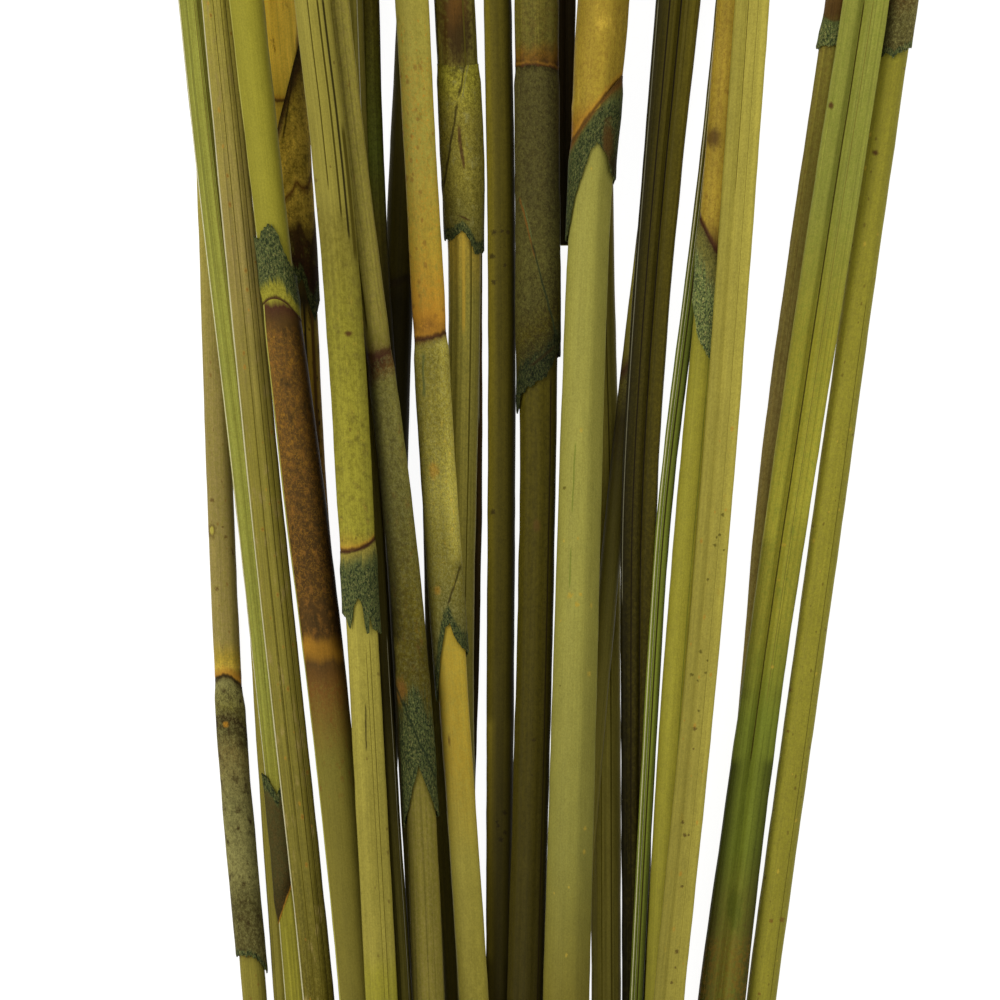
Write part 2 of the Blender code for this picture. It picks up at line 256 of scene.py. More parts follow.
print("highest point of the flank at half way:", round(flanked_section(0.4)(0.8)[1], 2))

# %% Growing
GROWTH = 10 * MM
GROWTH_IN_VIEW = 6 * MM


def deselect_all():
    if bpy.context.mode != "OBJECT":
        bpy.ops.object.mode_set(mode="OBJECT")
    bpy.ops.object.select_all(action="DESELECT")


def stations(course, marks):
    """Distances at which a stem gets a ring: closer together where the picture looks."""
    found = [course.foot, course.top, *marks]
    here = course.foot + 8 * MM
    while here < course.top - 6 * MM:
        if all(abs(here - mark) > 2.5 * MM for mark in marks):
            found.append(here)
        here += GROWTH_IN_VIEW if row(1000) < here < row(0) else GROWTH
    return sorted(found)


def grow(name, course, section, corners, nodes=()):
    """Extrudes a stem from its foot to its top along its course. It swells at its nodes."""
    deselect_all()
    marks = [node + step * MM for node in nodes for step in (-2.2, -0.9, 0, 0.9, 2.2)]
    here, *rest = stations(course, marks)
    x, z, half_x, half_z = course.at(here)
    bpy.ops.mesh.primitive_circle_add(
        vertices=corners, radius=half_x, fill_type="NGON", location=(x, here, z), rotation=(math.pi / 2, 0, 0)
    )
    stem = bpy.context.object
    stem.name = name
    bpy.ops.object.transform_apply(location=True, rotation=True)
    for point in stem.data.vertices:
        side, up = section(math.atan2(point.co.z - z, point.co.x - x))
        point.co = (x + side * half_x, here, z + up * half_z)
    bpy.ops.object.mode_set(mode="EDIT")
    for there in rest:
        new_x, new_z, new_half_x, new_half_z = course.at(there)
        swelling = 1 + sum(0.035 * math.exp(-(((there - node) / (1.3 * MM)) ** 2)) for node in nodes)
        new_half_x, new_half_z = new_half_x * swelling, new_half_z * swelling
        move = (new_x - x, there - here, new_z - z)
        bpy.ops.mesh.extrude_region_move(TRANSFORM_OT_translate={"value": move})
        change = (new_half_x / half_x, 1, new_half_z / half_z)
        bpy.ops.transform.resize(value=change, center_override=(new_x, there, new_z))
        here, x, z, half_x, half_z = there, new_x, new_z, new_half_x, new_half_z
    return stem


# %% [markdown]
# ## Cut ends
# A blade cuts a reed straight through its rind and its pale pith, which dries and sinks in. The
# last face is extruded in place and scaled down, which leaves a rind, and then pushed in. The
# Inset tool looks handier, but on a section with a sharp corner its short edges fold over and
# throw long spikes; scaling towards the middle cannot. These faces take the second material.

# %% Cutting the ends
PITH_SUNK = 1.3 * MM
PITH_RINGS = ((0.84, 0), (1, PITH_SUNK), (0.6, 0))


def cut_end(stem, course, at, inwards):
    """Gives the selected end face a rind and a sunken pith, which take the second material."""
    faces_before = len(bmesh.from_edit_mesh(stem.data).faces) - 1
    x, z, *_ = course.at(at)
    bpy.ops.transform.edge_crease(value=0.9)
    for share, sunk in PITH_RINGS:
        bpy.ops.mesh.extrude_region_move(TRANSFORM_OT_translate={"value": (0, inwards * sunk, 0)})
        bpy.ops.transform.resize(value=(share, 1, share), center_override=(x, at, z))
    shape = bmesh.from_edit_mesh(stem.data)
    for face in shape.faces:
        if face.index >= faces_before or face.select:
            face.material_index = 1
    bmesh.update_edit_mesh(stem.data)


def cut_both_ends(stem, course):
    """The top's face is still selected after growing. The foot's is found by its place."""
    cut_end(stem, course, course.top, -1)
    bpy.ops.mesh.select_all(action="DESELECT")
    shape = bmesh.from_edit_mesh(stem.data)
    foot = min(shape.faces, key=lambda face: face.calc_center_median().y)
    foot.select_set(True)
    bmesh.update_edit_mesh(stem.data)
    cut_end(stem, course, course.foot, 1)
    bpy.ops.mesh.select_all(action="SELECT")
    bpy.ops.mesh.normals_make_consistent(inside=False)
    bpy.ops.object.mode_set(mode="OBJECT")


# %% [markdown]
# ## Finishing a piece
# Subdivision rounds the rings off, and a soft Displace makes the surface a little lumpy, so
# that highlights wander as on a living stem. Both are applied. Last, each point remembers where
# it would be if the reed were straight: the paint follows those coordinates, and so its
# streaks run along the bent reed without a seam.

# %% Finishing
lumps = bpy.data.textures.new("lumps", "CLOUDS")
lumps.noise_scale = 0.012
lumps.noise_depth = 2


def round_off(piece, levels, lumpiness):
    """Subdivides, if levels is given, and displaces."""
    deselect_all()
    piece.select_set(True)
    bpy.context.view_layer.objects.active = piece
    if levels:
        rounding = piece.modifiers.new("rounding", "SUBSURF")
        rounding.levels = rounding.render_levels = levels
        bpy.ops.object.modifier_apply(modifier=rounding.name)
    uneven = piece.modifiers.new("uneven", "DISPLACE")
    uneven.texture = lumps
    uneven.texture_coords = "LOCAL"
    uneven.mid_level = 0.5
    uneven.strength = lumpiness
    bpy.ops.object.modifier_apply(modifier=uneven.name)
    bpy.ops.object.shade_smooth_by_angle(angle=math.radians(50))


def points_of(piece):
    found = np.empty(len(piece.data.vertices) * 3)
    piece.data.vertices.foreach_get("co", found)
    return found.reshape(-1, 3)


def remember_growth(piece, course):
    """Stores each point's place in the straight reed, in millimetres, and how far it is to the side."""
    points = points_of(piece)
    points[:, 1] = np.clip(points[:, 1], course.foot, course.top)
    points[:, 2] = np.maximum(points[:, 2], 0)
    piece.data.vertices.foreach_set("co", points.ravel())
    x, z, half_x, _ = course.at(points[:, 1])
    straight = np.column_stack((points[:, 0] - x, points[:, 1], points[:, 2] - z)) / MM
    grown = piece.data.attributes.new("grown", "FLOAT_VECTOR", "POINT")
    grown.data.foreach_set("vector", straight.ravel())
    side = piece.data.attributes.new("side", "FLOAT", "POINT")
    side.data.foreach_set("value", (points[:, 0] - x) / half_x)
    piece.data.update()


# %% [markdown]
# ## Wrapping a sheath
# A leaf of a reed starts as a sheath: a thin sleeve that leaves the stem at a node and hugs it
# for a while. Here the leaf itself is gone and the sheath ends in a torn mouth. An open
# cylinder is cut into rings, and its points are then set one by one in code, because every
# tear in the mouth has its own length. Solidify gives the sleeve its paper-thin wall.

# %% Wrapping
SHEATH_ROUND = 96
SHEATH_RING = 1.2 * MM
SHEATH_SKIN = 0.7 * MM
SHEATH_WALL = 0.3 * MM
SHEATH_RISE = 6 * MM
SEAM_HEIGHT = 0.3 * MM


def bowed(side, left, middle, right):
    """The row where a curved line across a reed is, from its rows at both edges and the middle."""
    return side * ((right - left) / 2) + side * side * ((left + right) / 2 - middle) + middle


def seam_lift(seam, across, along, up):
    """How far a sheath's free margin lies on top of itself, right of the seam from one place to another."""
    (x0, y0), (x1, y1) = seam
    line = np.interp(along, (row(y1), row(y0)), (column(x1), column(x0)))
    lifted = np.clip((across - line) / (0.5 * MM) + 0.5, 0, 1) * np.clip(up / 0.3, 0, 1)
    return SEAM_HEIGHT * lifted * np.clip(np.minimum(row(y0) - along, along - row(y1)) / (3 * MM) + 0.5, 0, 1)


def wrap(name, course, node, mouth, seam=None, tear=0.8):
    """A sheath from its node (rows of the picture at left, middle, right) to its mouth.

    mouth lists (how far to the side, row of the picture) from the left edge to the right.
    """
    rings = round(abs(row(np.mean(node)) - row(np.mean(mouth, axis=0)[1])) / SHEATH_RING)
    deselect_all()
    bpy.ops.mesh.primitive_cylinder_add(
        vertices=SHEATH_ROUND, radius=1, depth=1, end_fill_type="NOTHING", rotation=(math.pi / 2, 0, 0)
    )
    sheath = bpy.context.object
    sheath.name = name
    bpy.ops.object.transform_apply(rotation=True)
    bpy.ops.object.mode_set(mode="EDIT")
    bpy.ops.mesh.select_all(action="DESELECT")
    shape = bmesh.from_edit_mesh(sheath.data)
    for edge in shape.edges:
        edge.select_set(abs(edge.verts[0].co.y - edge.verts[1].co.y) > 0.5)
    bmesh.update_edit_mesh(sheath.data)
    bpy.ops.mesh.subdivide(number_cuts=max(rings, 12))
    bpy.ops.object.mode_set(mode="OBJECT")

    points = points_of(sheath)
    side, up = points[:, 0], points[:, 2]
    sides, rows = np.array(mouth).T
    left, right = row(rows[0]), row(rows[-1])
    opens_down = np.mean(mouth, axis=0)[1] > np.mean(node)
    share = 0.5 - points[:, 1] if opens_down else 0.5 + points[:, 1]
    start = row(bowed(side, *node))
    above = row(np.interp(side, sides, rows))
    below = (left + right) / 2 + (right - left) / 2 * side
    end = np.where(up > 0, above, below)
    chance = random.Random(name)
    teeth = np.array([chance.uniform(-1, 1) * chance.uniform(0.2, 1) for _ in range(SHEATH_ROUND)])
    which = np.round(np.arctan2(up, side) / (2 * math.pi) * SHEATH_ROUND).astype(int) % SHEATH_ROUND
    end = end + teeth[which] * tear * MM
    along = start + (end - start) * share
    x, z, half_x, half_z = course.at(along)
    out_of_node = np.clip(np.abs(along - start) / SHEATH_RISE, 0, 1)
    skin = SHEATH_SKIN * (0.1 + 0.9 * out_of_node * out_of_node * (3 - 2 * out_of_node))
    skin = skin + (0.12 + 0.12 * teeth[which]) * MM * share**6
    if seam:
        skin = skin + seam_lift(seam, x + half_x * side, along, up)
    placed = np.column_stack((x + (half_x + skin) * side, along, z + (half_z + skin) * up))
    sheath.data.vertices.foreach_set("co", placed.ravel())
    place_in_sheath = sheath.data.attributes.new("share", "FLOAT", "POINT")
    place_in_sheath.data.foreach_set("value", share)
    sheath.data.update()
    wall = sheath.modifiers.new("wall", "SOLIDIFY")
    wall.thickness = SHEATH_WALL
    wall.offset = -1
    bpy.ops.object.modifier_apply(modifier=wall.name)
    return sheath


# %% [markdown]
# ## Shader maths
# Paint is built from many small node sums. They read best as plain Python: a socket is wrapped
# in a Channel, and adding or multiplying two of them adds the Math node that does it.

# %% Channels and paint
class Channel:
    """One shader socket. Python's operators on it add Math nodes."""

    def __init__(self, paint, socket):
        self.paint = paint
        self.socket = socket

    def sum_with(self, operation, *values):
        sockets = dict(enumerate(values))
        return self.paint.add("ShaderNodeMath", {"operation": operation}, sockets)

    def __add__(self, other):
        return self.sum_with("ADD", self, other)

    def __sub__(self, other):
        return self.sum_with("SUBTRACT", self, other)

    def __rsub__(self, other):
        return self.sum_with("SUBTRACT", other, self)

    def __mul__(self, other):
        return self.sum_with("MULTIPLY", self, other)

    def __truediv__(self, other):
        return self.sum_with("DIVIDE", self, other)

    def __pow__(self, other):
        return self.sum_with("POWER", self, other)

    def __abs__(self):
        return self.sum_with("ABSOLUTE", self)

    def smaller(self, other):
        return self.sum_with("MINIMUM", self, other)

    def other(self, output):
        """Another output of the same node."""
        return Channel(self.paint, self.socket.node.outputs[output])

    def step(self, low, high):
        """0 below low, 1 above high, and a soft step between. low may be the larger."""
        sockets = {"Value": self, "From Min": low, "From Max": high}
        return self.paint.add("ShaderNodeMapRange", {"interpolation_type": "SMOOTHSTEP"}, sockets)

    __radd__ = __add__
    __rmul__ = __mul__


class Paint:
    """One material and its nodes."""

    def __init__(self, name):
        self.material = bpy.data.materials.new(name)
        self.material.use_nodes = True
        self.tree = self.material.node_tree
        self.shader = self.tree.nodes["Principled BSDF"]
        self.shader.inputs["Specular IOR Level"].default_value = 0.05

    def add(self, kind, settings=None, sockets=None, output=0):
        """Adds any node: its settings first, then the values or links of its sockets."""
        node = self.tree.nodes.new(kind)
        for key, value in (settings or {}).items():
            if key == "stops":
                self.set_stops(node.color_ramp, value)
            else:
                setattr(node, key, value)
        for key, value in (sockets or {}).items():
            self.feed(node.inputs[key], value)
        return Channel(self, node.outputs[output])

    def feed(self, socket, value):
        if isinstance(value, Channel):
            self.tree.links.new(value.socket, socket)
        else:
            socket.default_value = value

    def set_stops(self, ramp, stops):
        while len(ramp.elements) < len(stops):
            ramp.elements.new(1)
        for element, (place, tint) in zip(ramp.elements, stops):
            element.position = place
            element.color = tint

    def read(self, name, output="Fac"):
        return self.add("ShaderNodeAttribute", {"attribute_name": name}, output=output)

    def mix(self, mask, first, second, kind="MIX"):
        settings = {"data_type": "RGBA", "blend_type": kind}
        return self.add("ShaderNodeMix", settings, {0: mask, 6: first, 7: second}, output=2)

    def noise(self, stretch, detail=3.0, rough=0.55, shift=0.0):
        """Noise on the straight reed. stretch is how many grains fit in a millimetre each way."""
        sockets = {"Vector": self.read("grown", "Vector"), "Scale": stretch, "Location": (shift, shift, shift)}
        place = self.add("ShaderNodeMapping", None, sockets)
        sockets = {"Vector": place, "Scale": 1.0, "Detail": detail, "Roughness": rough}
        return self.add("ShaderNodeTexNoise", None, sockets, output="Fac")

    def cells(self, stretch, feature="F1", shift=0.0, output="Distance"):
        sockets = {"Vector": self.read("grown", "Vector"), "Scale": stretch, "Location": (shift, shift, shift)}
        place = self.add("ShaderNodeMapping", None, sockets)
        return self.add("ShaderNodeTexVoronoi", {"feature": feature}, {"Vector": place, "Scale": 1.0}, output)


print("paint kit is ready")

# %% [markdown]
# ## Colours
# Reeds go from fresh green through straw to amber, rust and bark as they ripen and wither.
# The colours were matched to the photograph. The colours were chosen by comparing renders with the photograph, and
# then adjusted until both agreed. A screen colour is turned into the linear value that shaders work with.

# %% Palette
def linear(red, green, blue):
    channels = [c / 255 for c in (red, green, blue)]
    return (*[c / 12.92 if c < 0.04045 else ((c + 0.055) / 1.055) ** 2.4 for c in channels], 1.0)


PALETTE = {
    "cream": linear(200, 192, 150),
    "honey": linear(188, 158, 56),
    "straw": linear(158, 146, 60),
    "pale_green": linear(152, 146, 66),
    "leaf_green": linear(142, 142, 58),
    "lime": linear(150, 142, 46),
    "grass": linear(112, 120, 38),
    "olive": linear(122, 112, 42),
    "dun": linear(138, 122, 64),
    "deep_olive": linear(80, 71, 16),
    # shadow is painted shade: the near-black olive of reeds that lie low in the bunch, out of the light
    "shadow": linear(46, 40, 8),
    "gold": linear(166, 140, 46),
    "amber": linear(168, 120, 36),
    "rust": linear(112, 76, 28),
    "bark": linear(84, 60, 24),
    "umber": linear(42, 33, 12),
    "plum": linear(62, 36, 20),
    "lichen": linear(134, 128, 72),
    "moss": linear(106, 100, 44),
    "grey_husk": linear(76, 70, 33),
    "velvet": linear(82, 88, 45),
    "night": linear(32, 40, 21),
}
print(len(PALETTE), "colours")

# %% [markdown]
# ## All the stems
# Most reeds are smooth and round. Some have ridges that run their whole length, because the
# tissue between the hard fibres shrinks as it dries. One has a flat flank on its right. Six are
# leaves, folded along their midrib. The shape of each is chosen here and then grown.

# %% Stems and leaves
NODE_ROWS = {
    "reed_01": (680, 676, 688), "reed_02": (925, 900, 880), "reed_05": (306, 301, 322), "reed_06": (140, 90, 40),
    "reed_07": (551, 549, 538), "reed_12": (366, 360, 350), "reed_14": (340, 338, 332), "reed_15": (63, 66, 63),
    "reed_18": (67, 66, 70), "reed_20": (142, 108, 76), "reed_25": (218, 246, 264), "reed_27": (12, 18, 12),
    "reed_29": (-70, -70, -70),
}
SECTIONS = {
    "reed_02": ridged_section(9, 0.13, 0.4), "reed_04": ridged_section(8, 0.14, 1.7),
    "reed_06": ridged_section(5, 0.08, 2.2), "reed_07": ridged_section(6, 0.14, 0.9), "reed_09": ridged_section(6, 0.16, 0.2),
    "reed_08": ridged_section(7, 0.12, 3.1), "reed_15": ridged_section(6, 0.12, 1.2),
    "reed_18": ridged_section(6, 0.10, 2.6), "reed_21": ridged_section(6, 0.10, 0.2),
    "reed_27": ridged_section(5, 0.07, 1.0), "reed_20": flanked_section(0.35),
    "reed_16": leaf_section(0.2, 0.5), "reed_19": leaf_section(-0.1, 0.5),
    "reed_23": leaf_section(0.15), "reed_24": leaf_section(-0.3, 0.6),
    "reed_26": leaf_section(-0.2, 0.45, 0.16), "reed_28": leaf_section(-0.1, 0.9, 0.14),
}
ROUND_CORNERS, SHAPED_CORNERS = 24, 40

stems = {}
for reed, course in courses.items():
    section = SECTIONS.get(reed, smooth_section)
    corners = SHAPED_CORNERS if reed in SECTIONS else ROUND_CORNERS
    nodes = [row(NODE_ROWS[reed][1])] if reed in NODE_ROWS else []
    node_name = reed + "_stem" if reed + "_stem" in frame["nodes"] else reed + "_leaf"
    stem = grow(node_name.replace("reed", "grown"), course, section, corners, nodes)
    cut_both_ends(stem, course)
    round_off(stem, 1, 0.3 * MM)
    remember_growth(stem, course)
    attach(stem, "root")
    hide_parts(node_name)
    stems[reed] = stem
print("stems:", len(stems), "faces:", sum(len(stem.data.polygons) for stem in stems.values()))

# %% [markdown]
# ## All the sheaths
# Thirteen reeds keep a sheath. Its mouth is torn in its own way each time: ragged, slanting, or
# drawn out into a tongue. The places along each mouth are read off the photograph.

# %% Sheaths
MOUTHS = {
    "reed_01": [(-1, 957), (-0.3, 957), (0.2, 958), (0.5, 962), (1, 972)],
    "reed_02": [(-1, 775), (-0.5, 780), (0, 795), (0.5, 785), (1, 775)],
    "reed_05": [(-1, 238), (-0.75, 240), (-0.5, 232), (-0.2, 226), (0.1, 228), (0.3, 236), (0.5, 252),
                (0.75, 265), (1, 277)],
    "reed_06": [(-1, 273), (-0.5, 278), (-0.2, 283), (0.1, 278), (0.4, 305), (0.7, 319), (1, 300)],
    "reed_07": [(-1, 612), (-0.8, 616), (-0.62, 630), (-0.5, 622), (-0.35, 604), (-0.05, 597), (0.12, 606), (0.22, 633),
                (0.38, 634), (0.45, 612), (0.6, 628), (1, 632)],
    "reed_12": [(-1, 825), (0, 765), (1, 815)],
    "reed_14": [(-1, 700), (-0.6, 660), (-0.2, 628), (0.05, 622), (0.4, 640), (0.7, 648), (1, 652)],
    "reed_15": [(-1, 238), (-0.6, 239), (-0.3, 233), (0, 231), (0.3, 240), (0.55, 253), (0.8, 253), (1, 250)],
    "reed_18": [(-1, 412), (-0.8, 395), (-0.5, 388), (-0.1, 382), (0.3, 378), (0.6, 366), (0.85, 352), (1, 355)],
    "reed_20": [(-1, 242), (-0.86, 224), (-0.7, 200), (-0.5, 182), (-0.3, 166), (-0.1, 150), (0.15, 142),
                (0.35, 149), (0.6, 156), (0.8, 172), (1, 180)],
    "reed_25": [(-1, 300), (-0.5, 335), (0, 350), (0.5, 362), (1, 362)],
    "reed_27": [(-1, 46), (-0.5, 44), (0, 46), (0.5, 43), (1, 42)],
    "reed_29": [(-1, 58), (-0.5, 52), (0, 57), (0.5, 50), (1, 45)],
}

SEAMS = {
    "reed_06": ((300, 25), (281, 142)), "reed_12": ((389, 670), (437, 782)), "reed_14": ((463, 560), (447, 612)),
    "reed_15": ((475, 20), (441, 195)), "reed_18": ((518, 195), (558, 345)),
}

sheaths = {}
for reed, mouth in MOUTHS.items():
    name = reed.replace("reed", "wrapped") + "_sheath"
    sheath = wrap(name, courses[reed], NODE_ROWS[reed], mouth, SEAMS.get(reed))
    round_off(sheath, 0, 0.35 * MM)
    remember_growth(sheath, courses[reed])
    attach(sheath, "root")
    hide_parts(reed + "_sheath")
    sheaths[reed] = sheath
print("sheaths:", len(sheaths), "faces:", sum(len(sheath.data.polygons) for sheath in sheaths.values()))

# %% [markdown]
# ## The skin of a reed
# Looked at closely, a reed's skin is a base colour that changes along the stem, fine streaks
# along the fibres, clouds of riper or duller colour, freckles, and a dark ring at each node.
# On top of those comes painted light: sides paints light and shade on the edges, and some
# pale lines along the left edges are painted highlights.
# Each of those is one short method here, and a reed's recipe says which ones it needs. Each
# works on coordinates of the straight reed: row is the row of the photograph, side runs from
# -1 at the left edge to 1 at the right edge.

# %% Skin
class Skin(Paint):
    """A paint that knows where on the reed it is."""

    def __init__(self, name, zones, by_share=False, ragged=0.02):
        super().__init__(name)
        grown = self.read("grown", "Vector")
        along = self.add("ShaderNodeSeparateXYZ", None, {0: grown}, output=1)
        self.row = 500 - along * (MM / PIXEL)
        self.side = self.read("side")
        self.zone = self.read("share") if by_share else self.row * 0.001
        wander = (self.noise((0.45, 0.05, 0.45)) - 0.5) * ragged
        stops = [(place if by_share else place / 1000, self.tone(*tone)) for place, *tone in zones]
        self.colour = self.add("ShaderNodeValToRGB", {"stops": stops}, {0: self.zone + wander})
        self.relief = 0

    def tone(self, name, light=1.0):
        return (*[c * light for c in PALETTE[name][:3]], 1.0)

    def cover(self, mask, name, light=1.0):
        self.colour = self.mix(mask, self.colour, self.tone(name, light))

    def darken(self, amount):
        self.colour = self.mix(1.0, self.colour, amount, "MULTIPLY")

    def within(self, mask, rows):
        """Keeps a mask between two rows of the photograph."""
        if rows is None:
            return mask
        return mask * self.row.step(rows[0] - 8, rows[0] + 8) * self.row.step(rows[1] + 8, rows[1] - 8)

    def streaks(self, amount, width=0.9, length=80.0, shift=0.0):
        grain = self.noise((1 / width, 1 / length, 1 / width), detail=4.0, shift=shift)
        self.darken(1 - (grain - 0.5) * (2.4 * amount))

    def furrows(self, depth=0.3, width=1.5):
        """Thin dark grooves between the fibres, which the relief sinks too."""
        grooves = self.noise((width, 0.006, width), detail=2.0, shift=17).step(0.56, 0.68)
        self.darken(1 - grooves * depth)
        self.relief = self.relief - grooves * 0.7

    def crust(self, name, size, amount=0.6, rows=None, light=1.0):
        """A fine uneven crust of grains, as lichen or mildew leaves it."""
        grains = self.noise((1.2 / size, 0.9 / size, 1.2 / size), detail=6.0, rough=0.8, shift=size + 4)
        self.cover(self.within(grains.step(0.47, 0.57) * amount, rows), name, light)

    def veins(self, name, size, amount=0.6, rows=None, light=1.0):
        """Thin wandering lines, where a noise crosses its middle value."""
        wander = abs(self.noise((1 / size, 0.7 / size, 1 / size), detail=3.0, rough=0.6, shift=size + 9) - 0.5)
        self.cover(self.within(wander.step(0.035, 0.01) * amount, rows), name, light)

    def mottle(self, name, share, size, rows=None, light=1.0, stretch=3.0, soft=0.16):
        """Clouds of another colour that cover this share of the skin."""
        clouds = self.noise((1 / size, 1 / size / stretch, 1 / size), detail=5.0, rough=0.65, shift=size)
        low = 0.66 - 0.34 * share
        self.cover(self.within(clouds.step(low, low + soft), rows), name, light)

    def specks(self, name, chance, size, spread=3.0, rows=None, light=1.0):
        """Freckles: a cell of the pattern holds one by chance."""
        grown = self.read("grown", "Vector")
        sockets = {"Vector": grown, "Location": (spread, spread, 0), "Scale": (1 / spread, 0.6 / spread, 1)}
        place = self.add("ShaderNodeMapping", None, sockets)
        cell = self.add("ShaderNodeTexVoronoi", {"voronoi_dimensions": "2D"}, {"Vector": place, "Scale": 1.0})
        luck = self.add("ShaderNodeSeparateColor", None, {0: cell.other("Color")})
        reach = size / spread * (0.4 + luck.other("Green") * 0.9)
        uneven = cell / reach + (self.noise((2.5, 1.8, 2.5), detail=4.0, rough=0.7) - 0.5) * 2.2
        dot = uneven.step(1.2, 0.4) * luck.step(1 - chance, 1.02 - chance)
        self.cover(self.within(dot * 0.55, rows), name, light)

    def ring(self, left, middle, right, name="plum", width=2.5, glow=None, reach=12, light=1.0):
        """The line of a node, with a glow of another colour above it."""
        wobble = (self.noise((0.5, 0.02, 0.5)) - 0.5) * 9
        below = self.row - bowed(self.side, left, middle, right) + wobble
        if glow:
            self.cover(below.step(-reach, -1) * below.step(2, 0) * 0.7, glow)
        self.cover(below.step(-2, 1) * below.step(4 * width, width) * 0.35, name, light)
        self.cover(abs(below).step(1.3 * width, 0.2 * width) * 0.85, name, light)

    def flat(self):
        """Object coordinates pressed flat, to mark places by column and row."""
        place = self.add("ShaderNodeTexCoord", output="Object")
        return self.add("ShaderNodeVectorMath", {"operation": "MULTIPLY"}, {0: place, 1: (1, 1, 0)})

    def spots(self, name, places, size, light=1.0):
        """Single marks, each at its own column and row of the photograph."""
        flat, nearest = self.flat(), None
        for number, (px, py) in enumerate(places):
            sockets = {0: flat, 1: (column(px), row(py), 0)}
            away = self.add("ShaderNodeVectorMath", {"operation": "DISTANCE"}, sockets, output="Value")
            away = away / (size * PIXEL * (1.25, 0.75, 1.0)[number % 3])
            nearest = away if nearest is None else nearest.smaller(away)
        ragged = nearest + (self.noise((2.2, 2.2, 2.2), detail=4.0) - 0.5) * 2.4
        self.cover(ragged.step(1.3, 0.4) * 0.75, name, light)

    def patch(self, name, px, py, across, along, light=1.0, strength=1.0):
        """One soft oval at a column and row, with its half sizes in pixels."""
        sockets = {0: self.flat(), 1: (column(px), row(py), 0)}
        away = self.add("ShaderNodeVectorMath", {"operation": "SUBTRACT"}, sockets)
        sockets = {0: away, 1: (1 / (across * PIXEL), 1 / (along * PIXEL), 0)}
        away = self.add("ShaderNodeVectorMath", {"operation": "MULTIPLY"}, sockets)
        away = self.add("ShaderNodeVectorMath", {"operation": "LENGTH"}, {0: away}, output="Value")
        ragged = away + (self.noise((0.8, 0.5, 0.8), detail=6.0, rough=0.7) - 0.5) * 1.6
        self.cover(ragged.step(1.2, 0.3) * strength, name, light)

    def stroke(self, name, start, end, width=1.5, light=1.0):
        """A straight line from one column and row to another."""
        x0, y0, x1, y1 = column(start[0]), row(start[1]), column(end[0]), row(end[1])
        length = math.hypot(x1 - x0, y1 - y0)
        ahead = ((x1 - x0) / length, (y1 - y0) / length, 0)
        away = self.add("ShaderNodeVectorMath", {"operation": "SUBTRACT"}, {0: self.flat(), 1: (x0, y0, 0)})
        dot = {"operation": "DOT_PRODUCT"}
        beside = self.add("ShaderNodeVectorMath", dot, {0: away, 1: (-ahead[1], ahead[0], 0)}, output="Value")
        along = self.add("ShaderNodeVectorMath", dot, {0: away, 1: ahead}, output="Value")
        shaky = abs(beside / (width * PIXEL) + (self.noise((0.8, 0.15, 0.8)) - 0.5) * 2.5)
        ends = along.step(0, 2 * MM) * along.step(length, length - 2 * MM)
        self.cover(shaky.step(1.2, 0.2) * ends * 0.8, name, light)

    def line(self, at, width, name, light=1.0, rows=None):
        """A line along the reed, at one place between the edges."""
        sway = (self.noise((0.01, 0.01, 0.01)) - 0.5) * 0.1
        self.cover(self.within(abs(self.side - at + sway).step(width, 0.4 * width), rows), name, light)

    def sides(self, left=1.0, right=1.0, rows=None):
        """Painted light and shade: lightens or darkens towards the two edges, as light falls on a round stem."""
        # painted shade on the edges, and painted light where a factor is above 1
        painted_edge_shading = self.side.step(-0.1, -0.95) * (1 - left) + self.side.step(0.1, 0.95) * (1 - right)
        self.darken(1 - self.within(painted_edge_shading, rows))

    def cracks(self, name, size, share=0.5, rows=None, light=1.0):
        """A network of short cracks, longer along the reed."""
        edges = self.cells((1 / size, 0.3 / size, 1 / size), "DISTANCE_TO_EDGE")
        here_and_there = self.noise((0.3, 0.1, 0.3), shift=7).step(0.6 - 0.3 * share, 0.7 - 0.3 * share)
        self.cover(self.within(edges.step(0.05, 0.01) * here_and_there * 0.8, rows), name, light)

    def velvet(self, reach, light=1.0):
        """The down at a sheath's mouth: dark tufts in rows, with the paler husk between them."""
        tufts = self.noise((2.6, 1.1, 2.6), detail=5.0, rough=0.75, shift=3)
        down = self.mix(tufts.step(0.42, 0.6), self.tone("night", light), self.tone("velvet", light))
        bare = self.noise((1.8, 1.3, 1.8), detail=5.0, rough=0.75, shift=8).step(0.52, 0.64)
        down = self.mix(bare * 0.55, down, self.tone("lichen", 0.9 * light))
        edge = self.zone + (self.noise((1.5, 0.12, 1.5), detail=4.0, shift=5) - 0.5) * 0.9 * reach
        here = edge.step(1 - reach, 1 - 0.75 * reach)
        self.colour = self.mix(here, self.colour, down)
        self.relief = self.relief + tufts * here

    def finish(self, roughness=0.5, relief=0.12, grain=0.7):
        """Joins the colour, the roughness and the fine relief to the shader."""
        fibres = self.noise((2.8, 0.03, 2.8), detail=3.0, shift=11)
        pores = self.noise((2.4, 1.9, 2.4), detail=6.0, rough=0.75, shift=13)
        clouds = self.noise((0.35, 0.12, 0.35), detail=5.0, rough=0.6, shift=19)
        self.darken(1.02 - (fibres - 0.5) * 0.35 - (pores - 0.5) * grain - (clouds - 0.5) * 0.35)
        self.feed(self.shader.inputs["Base Color"], self.colour)
        self.feed(self.shader.inputs["Roughness"], roughness + (pores - 0.5) * 0.4)
        height = self.relief + fibres * 0.4 + pores * 0.7
        sockets = {"Strength": 0.8, "Distance": relief * MM, "Height": height}
        bump = self.add("ShaderNodeBump", None, sockets, output="Normal")
        self.feed(self.shader.inputs["Normal"], bump)
        return self.material


print("the skin's methods:", [name for name in vars(Skin) if not name.startswith("_")])
